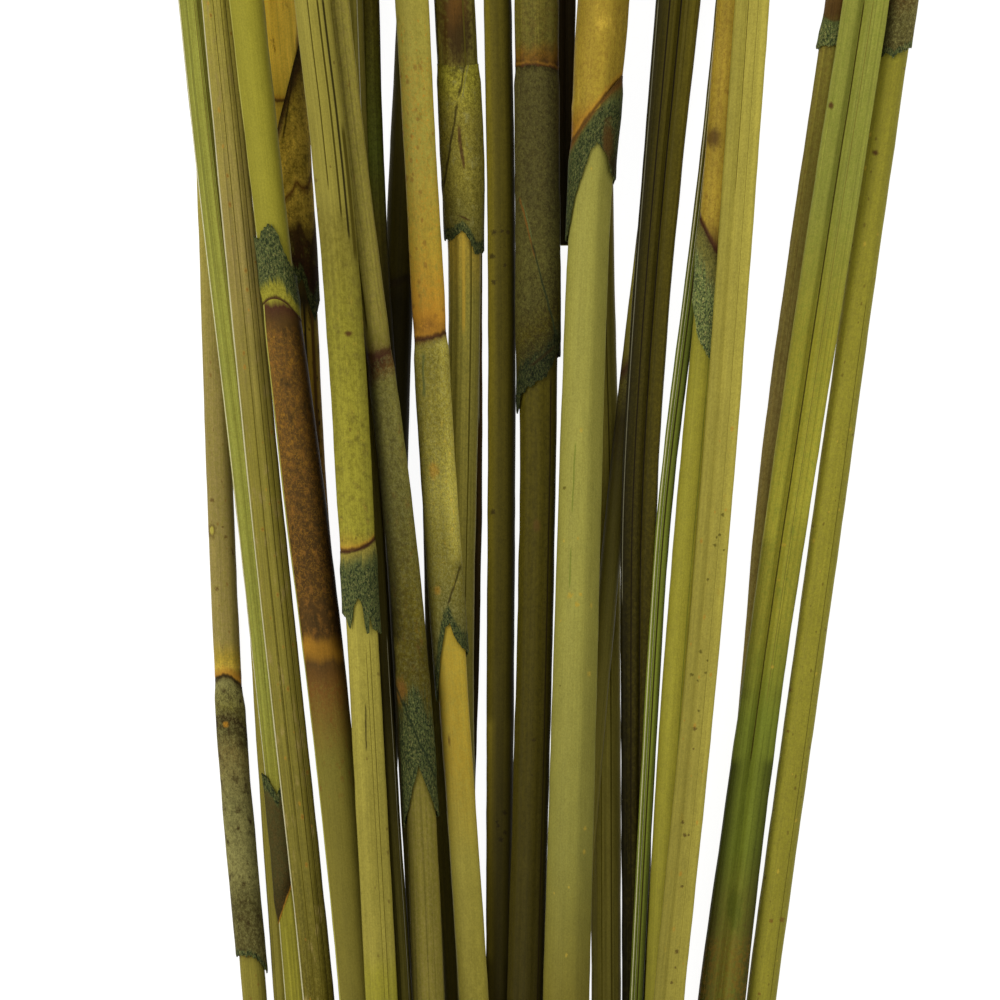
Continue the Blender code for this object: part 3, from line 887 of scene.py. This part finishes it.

# %% [markdown]
# ## Recipes of the stems
# A recipe lists the zones of the base colour, as (row of the photograph, colour, light), and
# then the marks. They are kept together by the left, middle and right of the bunch. The sides
# marks are painted light and shade, and the dark zones of reeds that lie low in the bunch are
# partly their own dark colour, partly painted shade.

# %% Recipes, left
STEM_RECIPES = {
    "reed_01": dict(
        zones=[(0, "olive"), (180, "straw", 0.84), (380, "dun", 0.98), (500, "dun", 0.92), (640, "dun", 0.98),
               (658, "gold", 0.85), (668, "honey", 0.9), (677, "rust"), (950, "bark"), (962, "olive"), (1000, "olive")],
        marks=[("streaks", 0.4, 0.45, 60.0), ("crust", "olive", 0.9, 0.5), ("mottle", "bark", 0.18, 1.2, (180, 660), 1.1, 3.0),
               ("specks", "rust", 0.25, 0.35, 2.4), ("sides", 1.0, 0.66), ("ring", 680, 676, 688, "umber", 2.6, "amber", 14),
               ("spots", "bark", [(211, 500), (222, 527), (225, 537), (216, 589)], 1.8),
               ("patch", "bark", 211, 531, 4.5, 8.5, 0.8), ("patch", "straw", 211, 531, 2.6, 5.5, 1.0)],
    ),
    "reed_02": dict(
        zones=[(0, "leaf_green", 1.0), (400, "leaf_green", 1.0), (700, "leaf_green", 1.02), (850, "lime", 0.88), (1000, "lime", 0.86)],
        # the cream line at the left edge is a painted highlight
        marks=[("streaks", 0.4, 0.5, 200.0), ("furrows", 0.25), ("sides", 0.76, 0.86), ("line", -0.93, 0.05, "cream"),
               ("line", 0.3, 0.04, "olive", 0.8, (0, 500)), ("line", 0.55, 0.04, "deep_olive", 1.2, (0, 600)), ("crust", "olive", 1.2, 0.25)],
    ),
    "reed_03": dict(
        zones=[(0, "straw", 0.9), (500, "straw", 0.9), (1000, "olive")],
        marks=[("streaks", 0.4, 0.6, 120.0), ("furrows",), ("sides", 1.1, 0.7)],
    ),
    "reed_04": dict(
        zones=[(0, "straw", 0.84), (250, "dun", 0.95), (450, "olive", 1.05), (650, "olive", 0.98), (850, "olive", 0.8), (1000, "deep_olive", 1.1)],
        marks=[("streaks", 0.5, 0.6, 140.0), ("furrows", 0.3, 1.8), ("crust", "olive", 1.0, 0.4), ("mottle", "dun", 0.35, 2.4, None, 0.95),
               # the cream line at the left edge is a painted highlight
               ("specks", "amber", 0.25, 0.4, 2.6), ("specks", "bark", 0.2, 0.3, 2.6), ("line", -0.95, 0.06, "cream", 0.85),
               ("sides", 1.0, 0.95, (-300, 320)), ("sides", 1.0, 0.72, (340, 1300)), ("line", -0.2, 0.03, "deep_olive", 0.9),
               ("line", 0.3, 0.03, "deep_olive", 0.8), ("line", 0.62, 0.025, "shadow", 1.2)],
    ),
    "reed_05": dict(
        zones=[(0, "lime", 0.93), (226, "lime", 0.88), (292, "lime", 0.88), (300, "lime", 0.8), (308, "plum", 1.2), (322, "bark", 0.8),
               (360, "bark", 1.05), (470, "bark", 0.8), (560, "bark", 0.62), (634, "bark", 0.66), (642, "amber", 0.6), (655, "amber", 0.58),
               (664, "bark", 0.9), (690, "rust", 0.85), (760, "olive", 0.78), (860, "olive", 0.78), (1000, "olive", 0.74)],
        marks=[("mottle", "amber", 0.5, 1.0, (330, 470), 0.62, 1.3, 0.25), ("mottle", "rust", 0.6, 1.3, (325, 640), 0.95, 1.4, 0.25),
               ("veins", "amber", 1.0, 0.5, (330, 600), 0.6), ("mottle", "umber", 0.45, 2.6, (315, 640), 1.2, 2.5, 0.3),
               # the sides marks paint shade on the right flank, and the pale_green line at the left edge is a painted
               # highlight
               ("sides", 1.2, 0.42, (325, 650)), ("mottle", "rust", 0.4, 1.6, (660, 800), 0.9, 2.0, 0.25),
               ("crust", "olive", 1.0, 0.3, (680, 1300), 0.8), ("sides", 0.78, 1.35, (-300, 290)), ("sides", 1.04, 0.68), ("line", -0.96, 0.05, "pale_green", 1.1)],
    ),
    "reed_06": dict(
        # the first zones are painted light: far brighter than the tongue's own gold, because the stem lies low where
        # little light reaches
        zones=[(0, "honey", 1.85), (60, "honey", 1.8), (92, "gold", 1.7), (104, "gold", 1.5), (150, "honey", 1.1), (300, "umber"),
               (330, "gold", 0.8), (500, "amber", 0.6), (640, "olive"), (1000, "olive", 0.7)],
        marks=[("streaks", 0.4, 0.8, 60.0), ("mottle", "umber", 0.35, 1.5, (300, 640)), ("mottle", "amber", 0.3, 2.2, (0, 120), 0.9),
               ("sides", 1.1, 0.75), ("ring", 98, 101, 108, "bark", 2.4, "amber", 9), ("line", 0.6, 0.15, "bark", 1.0, (300, 700)),
               ("line", 0.1, 0.1, "umber", 1.0, (300, 700)), ("stroke", "bark", (301, 0), (296, 60), 2.5)],
    ),
    "reed_07": dict(
        zones=[(0, "straw", 0.84), (110, "straw", 0.76), (200, "straw", 0.72), (235, "olive", 1.05), (330, "lime", 0.8), (430, "lime", 0.92),
               (530, "lime", 0.98), (545, "gold", 0.95), (560, "straw"), (640, "straw", 0.92), (700, "straw", 0.86), (850, "straw", 0.74),
               (950, "straw", 0.78), (975, "lime", 0.84), (1000, "lime", 0.78)],
        marks=[("mottle", "olive", 0.5, 2.4, (215, 540), 0.85, 1.3, 0.25), ("crust", "deep_olive", 1.4, 0.35, (215, 545), 1.2),
               ("mottle", "honey", 0.2, 2.4, (300, 540), 0.9, 1.4, 0.25), ("streaks", 0.3, 0.7, 120.0),
               ("ring", 551, 549, 538, "plum", 3.4, "amber", 7), ("patch", "bark", 350, 335, 5.0, 3.4), ("specks", "bark", 0.2, 0.35, 4.0),
               ("sides", 0.82, 0.8, (-300, 545)), ("line", -0.25, 0.05, "deep_olive", 0.9, (0, 190)),
               ("line", 0.28, 0.07, "deep_olive", 0.7, (0, 220)), ("line", 0.58, 0.08, "shadow", 1.0, (0, 240)),
               ("line", 0.82, 0.12, "deep_olive", 0.9, (130, 260)), ("line", 0.45, 0.03, "deep_olive", 1.0, (640, 1000)),
               ("line", 0.2, 0.02, "deep_olive", 1.0, (650, 1000)), ("crust", "olive", 1.2, 0.35, (640, 1300)),
               ("stroke", "umber", (366, 700), (367, 752), 1.0)],
    ),
    "reed_08": dict(
        zones=[(0, "olive"), (100, "olive", 1.1), (300, "olive", 0.8), (600, "olive", 0.8), (1000, "olive", 0.62)],
        marks=[("streaks", 0.5, 0.6, 150.0), ("furrows",), ("sides", 0.9, 0.6), ("line", 0.5, 0.05, "cream", 0.6)],
    ),
    "reed_09": dict(
        zones=[(0, "olive", 0.8), (200, "olive", 0.9), (400, "deep_olive"), (700, "shadow"), (1000, "olive", 0.6)],
        marks=[("streaks", 0.5, 0.6, 150.0), ("furrows", 0.4), ("sides", 0.7, 0.7), ("line", -0.3, 0.1, "shadow", 0.9, (0, 300)),
               ("line", 0.25, 0.1, "shadow", 0.9, (0, 330)), ("line", 0.6, 0.05, "cream", 0.5, (640, 1000))],
    ),
}

# %% Recipes, middle
STEM_RECIPES |= {
    "reed_10": dict(
        zones=[(0, "deep_olive", 1.2), (150, "grass", 0.55), (230, "deep_olive", 0.9), (330, "shadow"), (1000, "deep_olive", 0.8)],
        marks=[("streaks", 0.5), ("furrows",), ("crust", "shadow", 1.0, 0.4), ("sides", 0.9, 0.6)],
    ),
    "reed_11": dict(
        zones=[(0, "deep_olive", 0.75), (270, "deep_olive", 0.5), (300, "shadow", 0.7), (400, "shadow", 0.9), (1000, "deep_olive")],
        marks=[("streaks", 0.35), ("ring", 284, 280, 276, "umber", 5.0), ("sides", 0.8, 0.7)],
    ),
    "reed_12": dict(
        zones=[(0, "straw", 0.85), (200, "straw", 0.78), (320, "straw", 0.7), (342, "olive", 0.8), (358, "plum", 1.1),
               (760, "olive", 0.85), (1000, "olive", 0.85)],
        marks=[("streaks", 0.4, 0.7, 120.0), ("crust", "dun", 0.9, 0.5, None, 0.9), ("crust", "olive", 1.4, 0.4, None, 0.8),
               ("mottle", "rust", 0.15, 1.5, (60, 340), 1.0), ("line", -0.6, 0.1, "deep_olive", 0.8, (0, 330)),
               ("furrows", 0.2), ("ring", 358, 355, 350, "plum", 6.0), ("sides", 0.55, 1.12)],
    ),
    "reed_13": dict(
        zones=[(0, "olive"), (300, "olive", 0.8), (640, "deep_olive"), (800, "olive", 0.6), (1000, "deep_olive", 0.8)],
        marks=[("streaks", 0.5), ("furrows",), ("sides", 0.85, 0.7)],
    ),
    "reed_14": dict(
        zones=[(0, "straw", 0.86), (150, "straw", 0.86), (250, "gold", 0.88), (316, "amber", 0.96), (330, "rust", 1.1), (345, "rust"),
               (620, "gold", 0.98), (760, "gold", 0.84), (860, "straw", 0.72), (1000, "olive", 0.95)],
        marks=[("mottle", "olive", 0.3, 2.6, (0, 300), 1.0, 2.0), ("mottle", "amber", 0.26, 0.9, (20, 335), 1.0, 1.2, 0.12), ("crust", "amber", 1.0, 0.3, (60, 335), 1.02), ("crust", "olive", 1.2, 0.35, (0, 310), 1.0),
               ("specks", "rust", 0.35, 0.5, 2.0, (60, 335), 1.1), ("crust", "straw", 1.5, 0.4, (640, 1300), 0.8), ("sides", 0.76, 1.5),
               ("ring", 340, 338, 332, "plum", 3.8, "amber", 16), ("stroke", "bark", (448, 732), (450, 748), 1.2)],
    ),
    "reed_15": dict(
        zones=[(0, "olive", 1.1), (50, "olive", 1.0), (63, "olive"), (235, "honey", 0.8), (300, "straw", 0.84),
               (500, "straw", 0.82), (1000, "olive", 0.8)],
        marks=[("streaks", 0.5, 0.7, 100.0), ("furrows", 0.35), ("crust", "moss", 0.9, 0.4), ("line", -0.05, 0.14, "honey", 0.9, (225, 330)),
               ("patch", "bark", 455, 18, 22, 62, 0.8, 1.0), ("patch", "rust", 456, 12, 11, 30, 0.85, 0.6), ("patch", "umber", 461, 40, 15, 34, 1.3, 0.7),
               ("sides", 1.05, 0.68), ("line", 0.4, 0.05, "deep_olive", 0.8)],
    ),
    "reed_16": dict(
        zones=[(0, "olive", 0.5), (250, "olive", 0.6), (350, "rust", 0.7), (400, "bark", 0.8), (600, "umber"), (1000, "umber")],
        marks=[("streaks", 0.7, 0.5, 60.0), ("furrows",), ("mottle", "umber", 0.5, 2.0, (380, 1000)), ("line", 0.4, 0.2, "cream", 0.45, (0, 420))],
    ),
    "reed_17": dict(
        zones=[(0, "deep_olive", 1.08), (300, "deep_olive", 0.84), (600, "deep_olive", 0.72), (800, "shadow", 1.35), (1000, "shadow", 1.1)],
        # the sides marks paint a bright left flank, a dark right one and a lit lower left: painted light and shade
        marks=[("streaks", 0.25), ("crust", "shadow", 1.0, 0.25), ("sides", 2.2, 0.36), ("sides", 2.2, 1.6, (720, 960)),
               ("spots", "umber", [(494, 232), (502, 231), (508, 232), (492, 256), (505, 265), (494, 282), (493, 512)], 2.4),
               ("spots", "umber", [(505, 813), (497, 822), (505, 833), (501, 840), (498, 826)], 2.2, 0.6)],
    ),
    "reed_18": dict(
        zones=[(0, "olive", 0.72), (40, "olive", 0.66), (56, "amber", 0.42), (66, "plum", 0.8), (380, "deep_olive", 0.9),
               (600, "deep_olive", 0.78), (1000, "shadow", 1.4)],
        marks=[("streaks", 0.35, 0.7, 140.0), ("crust", "bark", 1.2, 0.4, (0, 62)), ("ring", 67, 66, 70, "plum", 3.2, "amber", 6, 0.75),
               ("crust", "shadow", 1.1, 0.4), ("patch", "bark", 537, 525, 4.5, 7, 1.0, 0.6), ("line", 0.65, 0.05, "umber", 1.0, (380, 1300)),
               ("sides", 1.05, 0.55), ("spots", "umber", [(534, 740), (532, 775)], 1.6)],
    ),
    "reed_19": dict(zones=[(0, "umber"), (500, "shadow"), (1000, "deep_olive")], marks=[("streaks", 0.5), ("furrows",)]),
    "reed_20": dict(
        zones=[(0, "gold", 0.86), (40, "gold", 0.92), (100, "gold", 0.94), (128, "amber", 0.85), (139, "rust"), (142, "pale_green", 0.86),
               (200, "pale_green", 0.95), (400, "pale_green", 0.95), (620, "pale_green", 0.88), (850, "pale_green", 0.68), (1000, "olive", 0.8)],
        marks=[("mottle", "honey", 0.3, 4.0, (0, 130), 1.0), ("mottle", "rust", 0.3, 2.6, (0, 140), 1.1, 1.6, 0.35),
               ("crust", "rust", 1.2, 0.3, (0, 135)), ("sides", 0.78, 0.75, (-300, 140)), ("ring", 142, 108, 76, "rust", 3.6, "amber", 12, 0.55),
               ("crust", "olive", 1.1, 0.18, (150, 1300)), ("sides", 0.98, 0.9, (150, 1300)),
               ("stroke", "grass", (575, 440), (572, 515), 0.9, 0.9), ("stroke", "grass", (571, 545), (569, 590), 0.9, 0.9),
               ("spots", "gold", [(570, 595), (580, 594), (577, 604)], 2.6), ("spots", "deep_olive", [(564, 488), (560, 685)], 1.4),
               ("specks", "honey", 0.1, 0.4, 4.0, (160, 1000), 0.9)],
    ),
}

# %% Recipes, right
STEM_RECIPES |= {
    "reed_21": dict(
        zones=[(0, "gold", 0.7), (300, "olive", 0.9), (500, "olive", 1.0), (700, "olive"), (1000, "olive", 0.9)],
        marks=[("streaks", 0.4, 0.6, 200.0), ("furrows",), ("sides", 1.0, 0.6), ("line", 0.35, 0.06, "deep_olive", 0.7),
               ("line", -0.3, 0.04, "deep_olive")],
    ),
    "reed_22": dict(
        zones=[(0, "shadow"), (240, "deep_olive"), (270, "straw", 0.6), (355, "olive", 0.6), (372, "plum", 0.8), (385, "olive", 0.45),
               (420, "shadow"), (600, "olive", 0.45), (800, "olive", 0.85), (1000, "olive", 0.8)],
        marks=[("streaks", 0.3), ("crust", "umber", 0.6, 0.7, (375, 460)), ("sides", 1.0, 0.8)],
    ),
    "reed_23": dict(
        zones=[(0, "deep_olive", 0.75), (200, "deep_olive", 0.6), (500, "shadow", 1.2), (800, "shadow", 0.9), (1000, "shadow", 0.8)],
        marks=[("streaks", 0.4, 0.8, 250.0), ("furrows", 0.2), ("crust", "deep_olive", 1.1, 0.3), ("sides", 0.32, 1.75),
               # the faint cream line near the left edge is a painted highlight
               ("line", -0.85, 0.03, "cream", 0.22, (0, 600)), ("line", 0.15, 0.05, "umber", 0.5), ("line", -0.35, 0.05, "umber", 0.5)],
    ),
    "reed_24": dict(
        zones=[(0, "olive", 0.7), (150, "deep_olive"), (300, "grass", 0.6), (500, "grass", 0.8), (700, "grass", 0.95), (1000, "grass", 0.7)],
        marks=[("streaks", 0.5, 0.5, 200.0), ("furrows", 0.25), ("line", -0.7, 0.08, "cream", 0.8), ("line", -0.3, 0.05, "cream", 0.6),
               ("line", 0.1, 0.15, "shadow", 1.0), ("sides", 1.0, 0.35)],
    ),
    "reed_25": dict(
        zones=[(0, "gold", 0.82), (60, "gold", 0.95), (140, "gold", 0.8), (200, "gold", 1.0), (222, "gold", 0.9), (250, "plum"),
               (270, "lime", 0.8), (400, "lime", 0.92), (700, "lime", 0.92), (1000, "lime", 0.78)],
        marks=[("mottle", "rust", 0.4, 2.0, (0, 235), 1.0, 1.5, 0.35), ("crust", "rust", 1.1, 0.35, (0, 240), 0.9), ("patch", "bark", 713, 138, 9, 14, 1.0, 0.85),
               ("streaks", 0.2, 0.6, 200.0), ("ring", 218, 246, 264, "plum", 6.0, "rust", 8), ("sides", 0.85, 1.05),
               ("line", 0.45, 0.03, "grass", 0.9, (300, 1000)), ("crust", "olive", 1.3, 0.25, (280, 1300))],
    ),
    "reed_26": dict(
        zones=[(0, "straw", 1.02), (300, "straw", 0.98), (600, "straw", 0.88), (1000, "straw", 0.74)],
        marks=[("streaks", 0.2, 0.6, 200.0), ("crust", "olive", 1.0, 0.25, None, 1.05), ("mottle", "gold", 0.25, 2.4, (450, 1000), 0.85, 2.0, 0.3),
               ("specks", "amber", 0.2, 0.4, 3.0, (400, 1300), 0.95), ("line", -0.2, 0.025, "deep_olive", 1.2, (0, 190)),
               ("line", 0.35, 0.02, "olive", 0.9), ("sides", 0.86, 1.26),
               ("spots", "deep_olive", [(722, 515), (716, 537), (719, 535), (714, 545), (723, 550), (707, 579), (700, 651),
                                        (707, 660), (705, 672), (691, 674), (697, 680), (698, 710)], 1.5, 0.8),
               ("spots", "bark", [(694, 728), (693, 748), (682, 821), (684, 834), (688, 834), (681, 885), (676, 950),
                                  (675, 966), (671, 981)], 1.7, 0.7)],
    ),
    "reed_27": dict(
        zones=[(0, "bark"), (14, "bark", 0.8), (46, "olive", 1.05), (150, "olive", 0.88), (400, "dun", 0.9), (1000, "olive", 1.1)],
        marks=[("streaks", 0.3, 0.5, 50.0), ("crust", "bark", 1.0, 0.35, None, 1.2), ("furrows", 0.15), ("sides", 1.15, 0.75)],
    ),
    "reed_28": dict(
        zones=[(0, "leaf_green", 0.88), (200, "leaf_green", 0.84), (340, "lime", 0.86), (480, "lime", 0.98), (620, "lime", 0.88),
               (720, "grass", 0.92), (850, "grass", 0.92), (940, "olive", 0.84), (1000, "olive", 0.78)],
        marks=[("streaks", 0.3, 0.6, 220.0), ("furrows", 0.15), ("crust", "grass", 1.2, 0.35), ("mottle", "grass", 0.35, 3.0, (450, 1300), 0.9, 2.0, 0.3),
               ("sides", 1.0, 1.2, (-300, 520)), ("sides", 0.72, 0.9, (540, 700)), ("sides", 0.3, 0.34, (760, 1600)), ("sides", 0.85, 0.85, (690, 760)),
               ("line", -0.08, 0.04, "deep_olive", 0.7, (0, 760)), ("line", 0.3, 0.02, "olive", 0.8, (0, 700)),
               ("patch", "grass", 735, 910, 9, 26, 0.55, 0.8), ("crust", "amber", 1.3, 0.35, (940, 1300), 0.5),
               ("spots", "honey", [(784, 545), (779, 580), (773, 667)], 1.8, 0.8), ("patch", "bark", 831, 105, 3.5, 4.5)],
    ),
    "reed_29": dict(
        zones=[(0, "olive"), (60, "lime", 0.84), (300, "lime", 0.9), (600, "lime", 0.88), (1000, "lime", 0.8)],
        marks=[("streaks", 0.2), ("crust", "olive", 1.0, 0.4), ("specks", "bark", 0.25, 0.3, 2.4), ("specks", "honey", 0.15, 0.35, 3.0),
               ("sides", 1.12, 0.9), ("line", 0.55, 0.025, "deep_olive", 1.0, (300, 1000)),
               ("patch", "bark", 876, 152, 3.4, 3.8), ("spots", "rust", [(790, 690), (789, 732), (772, 922), (783, 921), (760, 995)], 2.2, 0.9)],
    ),
}
print("stem recipes:", len(STEM_RECIPES))

# %% [markdown]
# ## Recipes of the sheaths
# A sheath is duller than the stem it wraps: grey-green, crusted over with mildew where it dried,
# and velvety at the mouth. Its zones run from 0 at the node to 1 at the mouth.

# %% Recipes of the sheaths
SHEATH_RECIPES = {
    "reed_01": dict(
        zones=[(0, "bark"), (0.02, "lichen", 0.9), (0.11, "moss"), (0.15, "umber", 1.6), (0.2, "grey_husk", 0.9), (0.27, "dun", 0.6),
               (0.45, "lichen", 0.7), (0.7, "lichen", 0.85), (0.8, "grey_husk", 1.0), (0.97, "grey_husk", 1.1), (1, "velvet")],
        marks=[("crust", "lichen", 1.0, 0.45, None, 0.95), ("mottle", "umber", 0.45, 2.6, None, 1.7, 1.4, 0.2), ("crust", "umber", 1.6, 0.35, None, 1.6),
               ("veins", "umber", 1.3, 0.6, (685, 730)), ("patch", "amber", 225, 725, 3.5, 3.5, 0.75), ("velvet", 0.02),
               ("ring", 680, 676, 688, "umber", 2.6), ("sides", 1.05, 0.74)],
    ),
    "reed_02": dict(
        zones=[(0, "umber", 1.5), (0.3, "grey_husk", 0.78), (0.85, "grey_husk", 0.85), (1, "velvet")],
        marks=[("crust", "bark", 1.2, 0.3), ("velvet", 0.12), ("ring", 925, 900, 880, "amber", 3.5)],
    ),
    "reed_05": dict(
        zones=[(0, "plum"), (0.05, "lime", 0.85), (0.2, "lime", 0.82), (0.36, "velvet"), (1, "night")],
        marks=[("crust", "deep_olive", 1.0, 0.3), ("velvet", 0.8, 1.2), ("ring", 306, 301, 322, "plum", 4.0), ("sides", 1.0, 0.8)],
    ),
    "reed_06": dict(
        zones=[(0, "umber"), (0.05, "bark"), (0.12, "gold", 1.0), (0.3, "honey", 1.2), (0.42, "gold", 1.0), (0.47, "honey", 1.1),
               (0.5, "rust", 0.9), (0.54, "honey", 1.05), (0.64, "honey", 0.95), (0.72, "bark", 0.65), (0.9, "plum", 0.7), (1, "night")],
        marks=[("mottle", "olive", 0.4, 1.6, None, 0.7, 2.0, 0.25), ("crust", "umber", 1.3, 0.45, None, 1.3), ("streaks", 0.4, 0.6, 30.0),
               ("velvet", 0.1), ("sides", 1.15, 0.6), ("stroke", "umber", (300, 25), (282, 142), 1.3)],
    ),
    "reed_07": dict(
        zones=[(0, "plum"), (0.05, "straw", 0.9), (0.14, "moss", 1.1), (0.3, "velvet"), (1, "night")],
        marks=[("velvet", 0.88, 1.2), ("ring", 551, 549, 538, "plum", 2.6), ("sides", 1.0, 0.85)],
    ),
    "reed_12": dict(
        zones=[(0, "plum"), (0.03, "bark", 0.9), (0.06, "moss", 0.85), (0.18, "moss", 0.85), (0.35, "moss", 0.72), (0.6, "deep_olive", 1.1),
               (0.8, "deep_olive", 0.9), (0.92, "moss", 0.5), (1, "velvet", 0.8)],
        marks=[("crust", "lichen", 1.0, 0.45, None, 0.62), ("mottle", "rust", 0.3, 2.2, (400, 720), 0.7, 2.0, 0.3), ("crust", "umber", 1.4, 0.4, None, 1.4),
               ("sides", 0.42, 1.5, (-300, 640)), ("patch", "rust", 400, 690, 8, 16, 1.0, 0.7), ("patch", "night", 403, 735, 9, 34, 1.3, 0.75),
               ("velvet", 0.24), ("stroke", "night", (390, 672), (437, 780), 1.6)],
    ),
    "reed_14": dict(
        zones=[(0, "rust"), (0.02, "straw", 0.8), (0.08, "olive", 1.1), (0.3, "olive", 1.22), (0.5, "straw", 0.92), (0.7, "olive", 1.02), (0.82, "olive", 0.85),
               (0.92, "moss", 0.8), (1, "velvet")],
        marks=[("veins", "deep_olive", 0.9, 0.5), ("crust", "lichen", 0.8, 0.5, None, 1.0), ("crust", "deep_olive", 1.3, 0.35, (345, 480), 1.1),
               ("mottle", "honey", 0.25, 1.8, (380, 600), 0.9, 1.5, 0.25), ("stroke", "velvet", (423, 350), (424, 400), 2.0),
               ("velvet", 0.07), ("sides", 0.85, 1.85, (-300, 560)), ("patch", "amber", 434, 470, 6, 10, 0.9, 0.5), ("patch", "amber", 437, 590, 4, 5, 0.9, 0.5),
               ("ring", 340, 338, 332, "plum", 3.2), ("stroke", "umber", (462, 562), (447, 608), 1.2, 1.4)],
    ),
    "reed_15": dict(
        zones=[(0, "lime", 1.1), (0.06, "lime", 1.15), (0.3, "olive", 1.32), (0.7, "olive", 1.22), (0.93, "moss", 1.05), (1, "velvet")],
        marks=[("crust", "deep_olive", 1.0, 0.5, None, 1.1), ("veins", "umber", 1.0, 0.35), ("mottle", "lichen", 0.4, 2.0, None, 1.05, 1.6, 0.25),
               ("patch", "umber", 457, 44, 18, 36, 1.4, 0.95), ("stroke", "umber", (474, 20), (458, 100), 1.6, 1.2),
               ("stroke", "umber", (458, 100), (443, 190), 1.6, 1.2), ("stroke", "lichen", (477, 22), (461, 102), 0.8, 0.8),
               ("stroke", "umber", (442, 175), (438, 250), 1.4), ("stroke", "plum", (458, 122), (464, 172), 2.0, 1.3),
               ("stroke", "plum", (456, 214), (473, 222), 1.2), ("velvet", 0.07), ("sides", 0.92, 0.74)],
    ),
    "reed_18": dict(
        zones=[(0, "umber"), (0.02, "grey_husk", 1.0), (0.4, "grey_husk", 0.92), (0.62, "moss", 0.6), (0.75, "moss", 0.5),
               (0.84, "deep_olive", 0.7), (0.93, "night", 0.9), (1, "night", 0.9)],
        marks=[("crust", "moss", 0.9, 0.5, None, 0.75), ("crust", "umber", 1.2, 0.5, None, 1.2), ("veins", "umber", 1.2, 0.5, (270, 385)),
               ("velvet", 0.1, 0.45), ("sides", 0.98, 0.55), ("stroke", "rust", (519, 195), (536, 262), 1.2, 0.9),
               ("stroke", "velvet", (522, 200), (533, 243), 1.0), ("stroke", "night", (531, 240), (557, 338), 1.2),
               ("stroke", "umber", (557, 345), (528, 368), 2.0)],
    ),
    "reed_20": dict(
        zones=[(0, "bark"), (0.06, "rust", 0.9), (0.12, "moss", 0.7), (0.22, "velvet"), (1, "night")],
        marks=[("velvet", 0.9), ("patch", "bark", 608, 142, 7, 26, 1.0, 0.9), ("patch", "umber", 614, 165, 5, 16, 1.3, 0.9),
               ("ring", 142, 108, 76, "bark", 3.2), ("sides", 1.0, 0.8)],
    ),
    "reed_25": dict(
        zones=[(0, "plum"), (0.04, "moss"), (0.2, "moss", 1.1), (0.6, "lichen", 0.8), (1, "velvet", 1.1)],
        marks=[("crust", "night", 0.9, 0.5), ("velvet", 0.75, 2.3), ("ring", 218, 246, 264, "plum", 4.0)],
    ),
    "reed_27": dict(
        zones=[(0, "bark"), (0.12, "velvet"), (1, "night")],
        marks=[("velvet", 0.9, 1.9), ("patch", "umber", 832, 4, 14, 12, 1.2, 0.9)],
    ),
    "reed_29": dict(
        zones=[(0, "bark"), (0.5, "bark"), (0.7, "grey_husk", 1.3), (0.93, "grey_husk", 1.1), (1, "night", 1.2)],
        marks=[("crust", "lichen", 0.9, 0.5, None, 0.98), ("crust", "umber", 1.3, 0.5, None, 1.3), ("velvet", 0.06, 1.2), ("sides", 0.45, 1.3)],
    ),
}
print("sheath recipes:", len(SHEATH_RECIPES))

# %% [markdown]
# ## Paint them all
# The recipes are followed mark by mark. Stems get a satin skin, and sheaths a dry, rougher one
# with more relief. The cut ends take a pale pith with a ring of fibres.

# %% Painting
def follow(recipe, name, by_share, roughness, relief):
    skin = Skin(name, recipe["zones"], by_share)
    for mark, *details in recipe["marks"]:
        getattr(skin, mark)(*details)
    return skin.finish(roughness, relief, 2.2 if by_share else 0.95)


def pith(name):
    """Straw-coloured pith with the dots of the fibres in it."""
    paint = Paint(name)
    place = paint.add("ShaderNodeTexCoord", output="Object")
    fibres = paint.add("ShaderNodeTexVoronoi", None, {"Vector": place, "Scale": 900.0})
    tint = paint.mix(fibres.step(0.15, 0.35), PALETTE["olive"], PALETTE["cream"])
    paint.feed(paint.shader.inputs["Base Color"], tint)
    paint.shader.inputs["Roughness"].default_value = 0.85
    return paint.material


pith_paint = pith("dry_pith")
for reed, stem in stems.items():
    stem.data.materials.append(follow(STEM_RECIPES[reed], reed + "_skin", False, 0.5, 0.15))
    stem.data.materials.append(pith_paint)
for reed, sheath in sheaths.items():
    sheath.data.materials.append(follow(SHEATH_RECIPES[reed], reed + "_husk", True, 0.65, 0.3))
print("materials:", len(bpy.data.materials))

# %% [markdown]
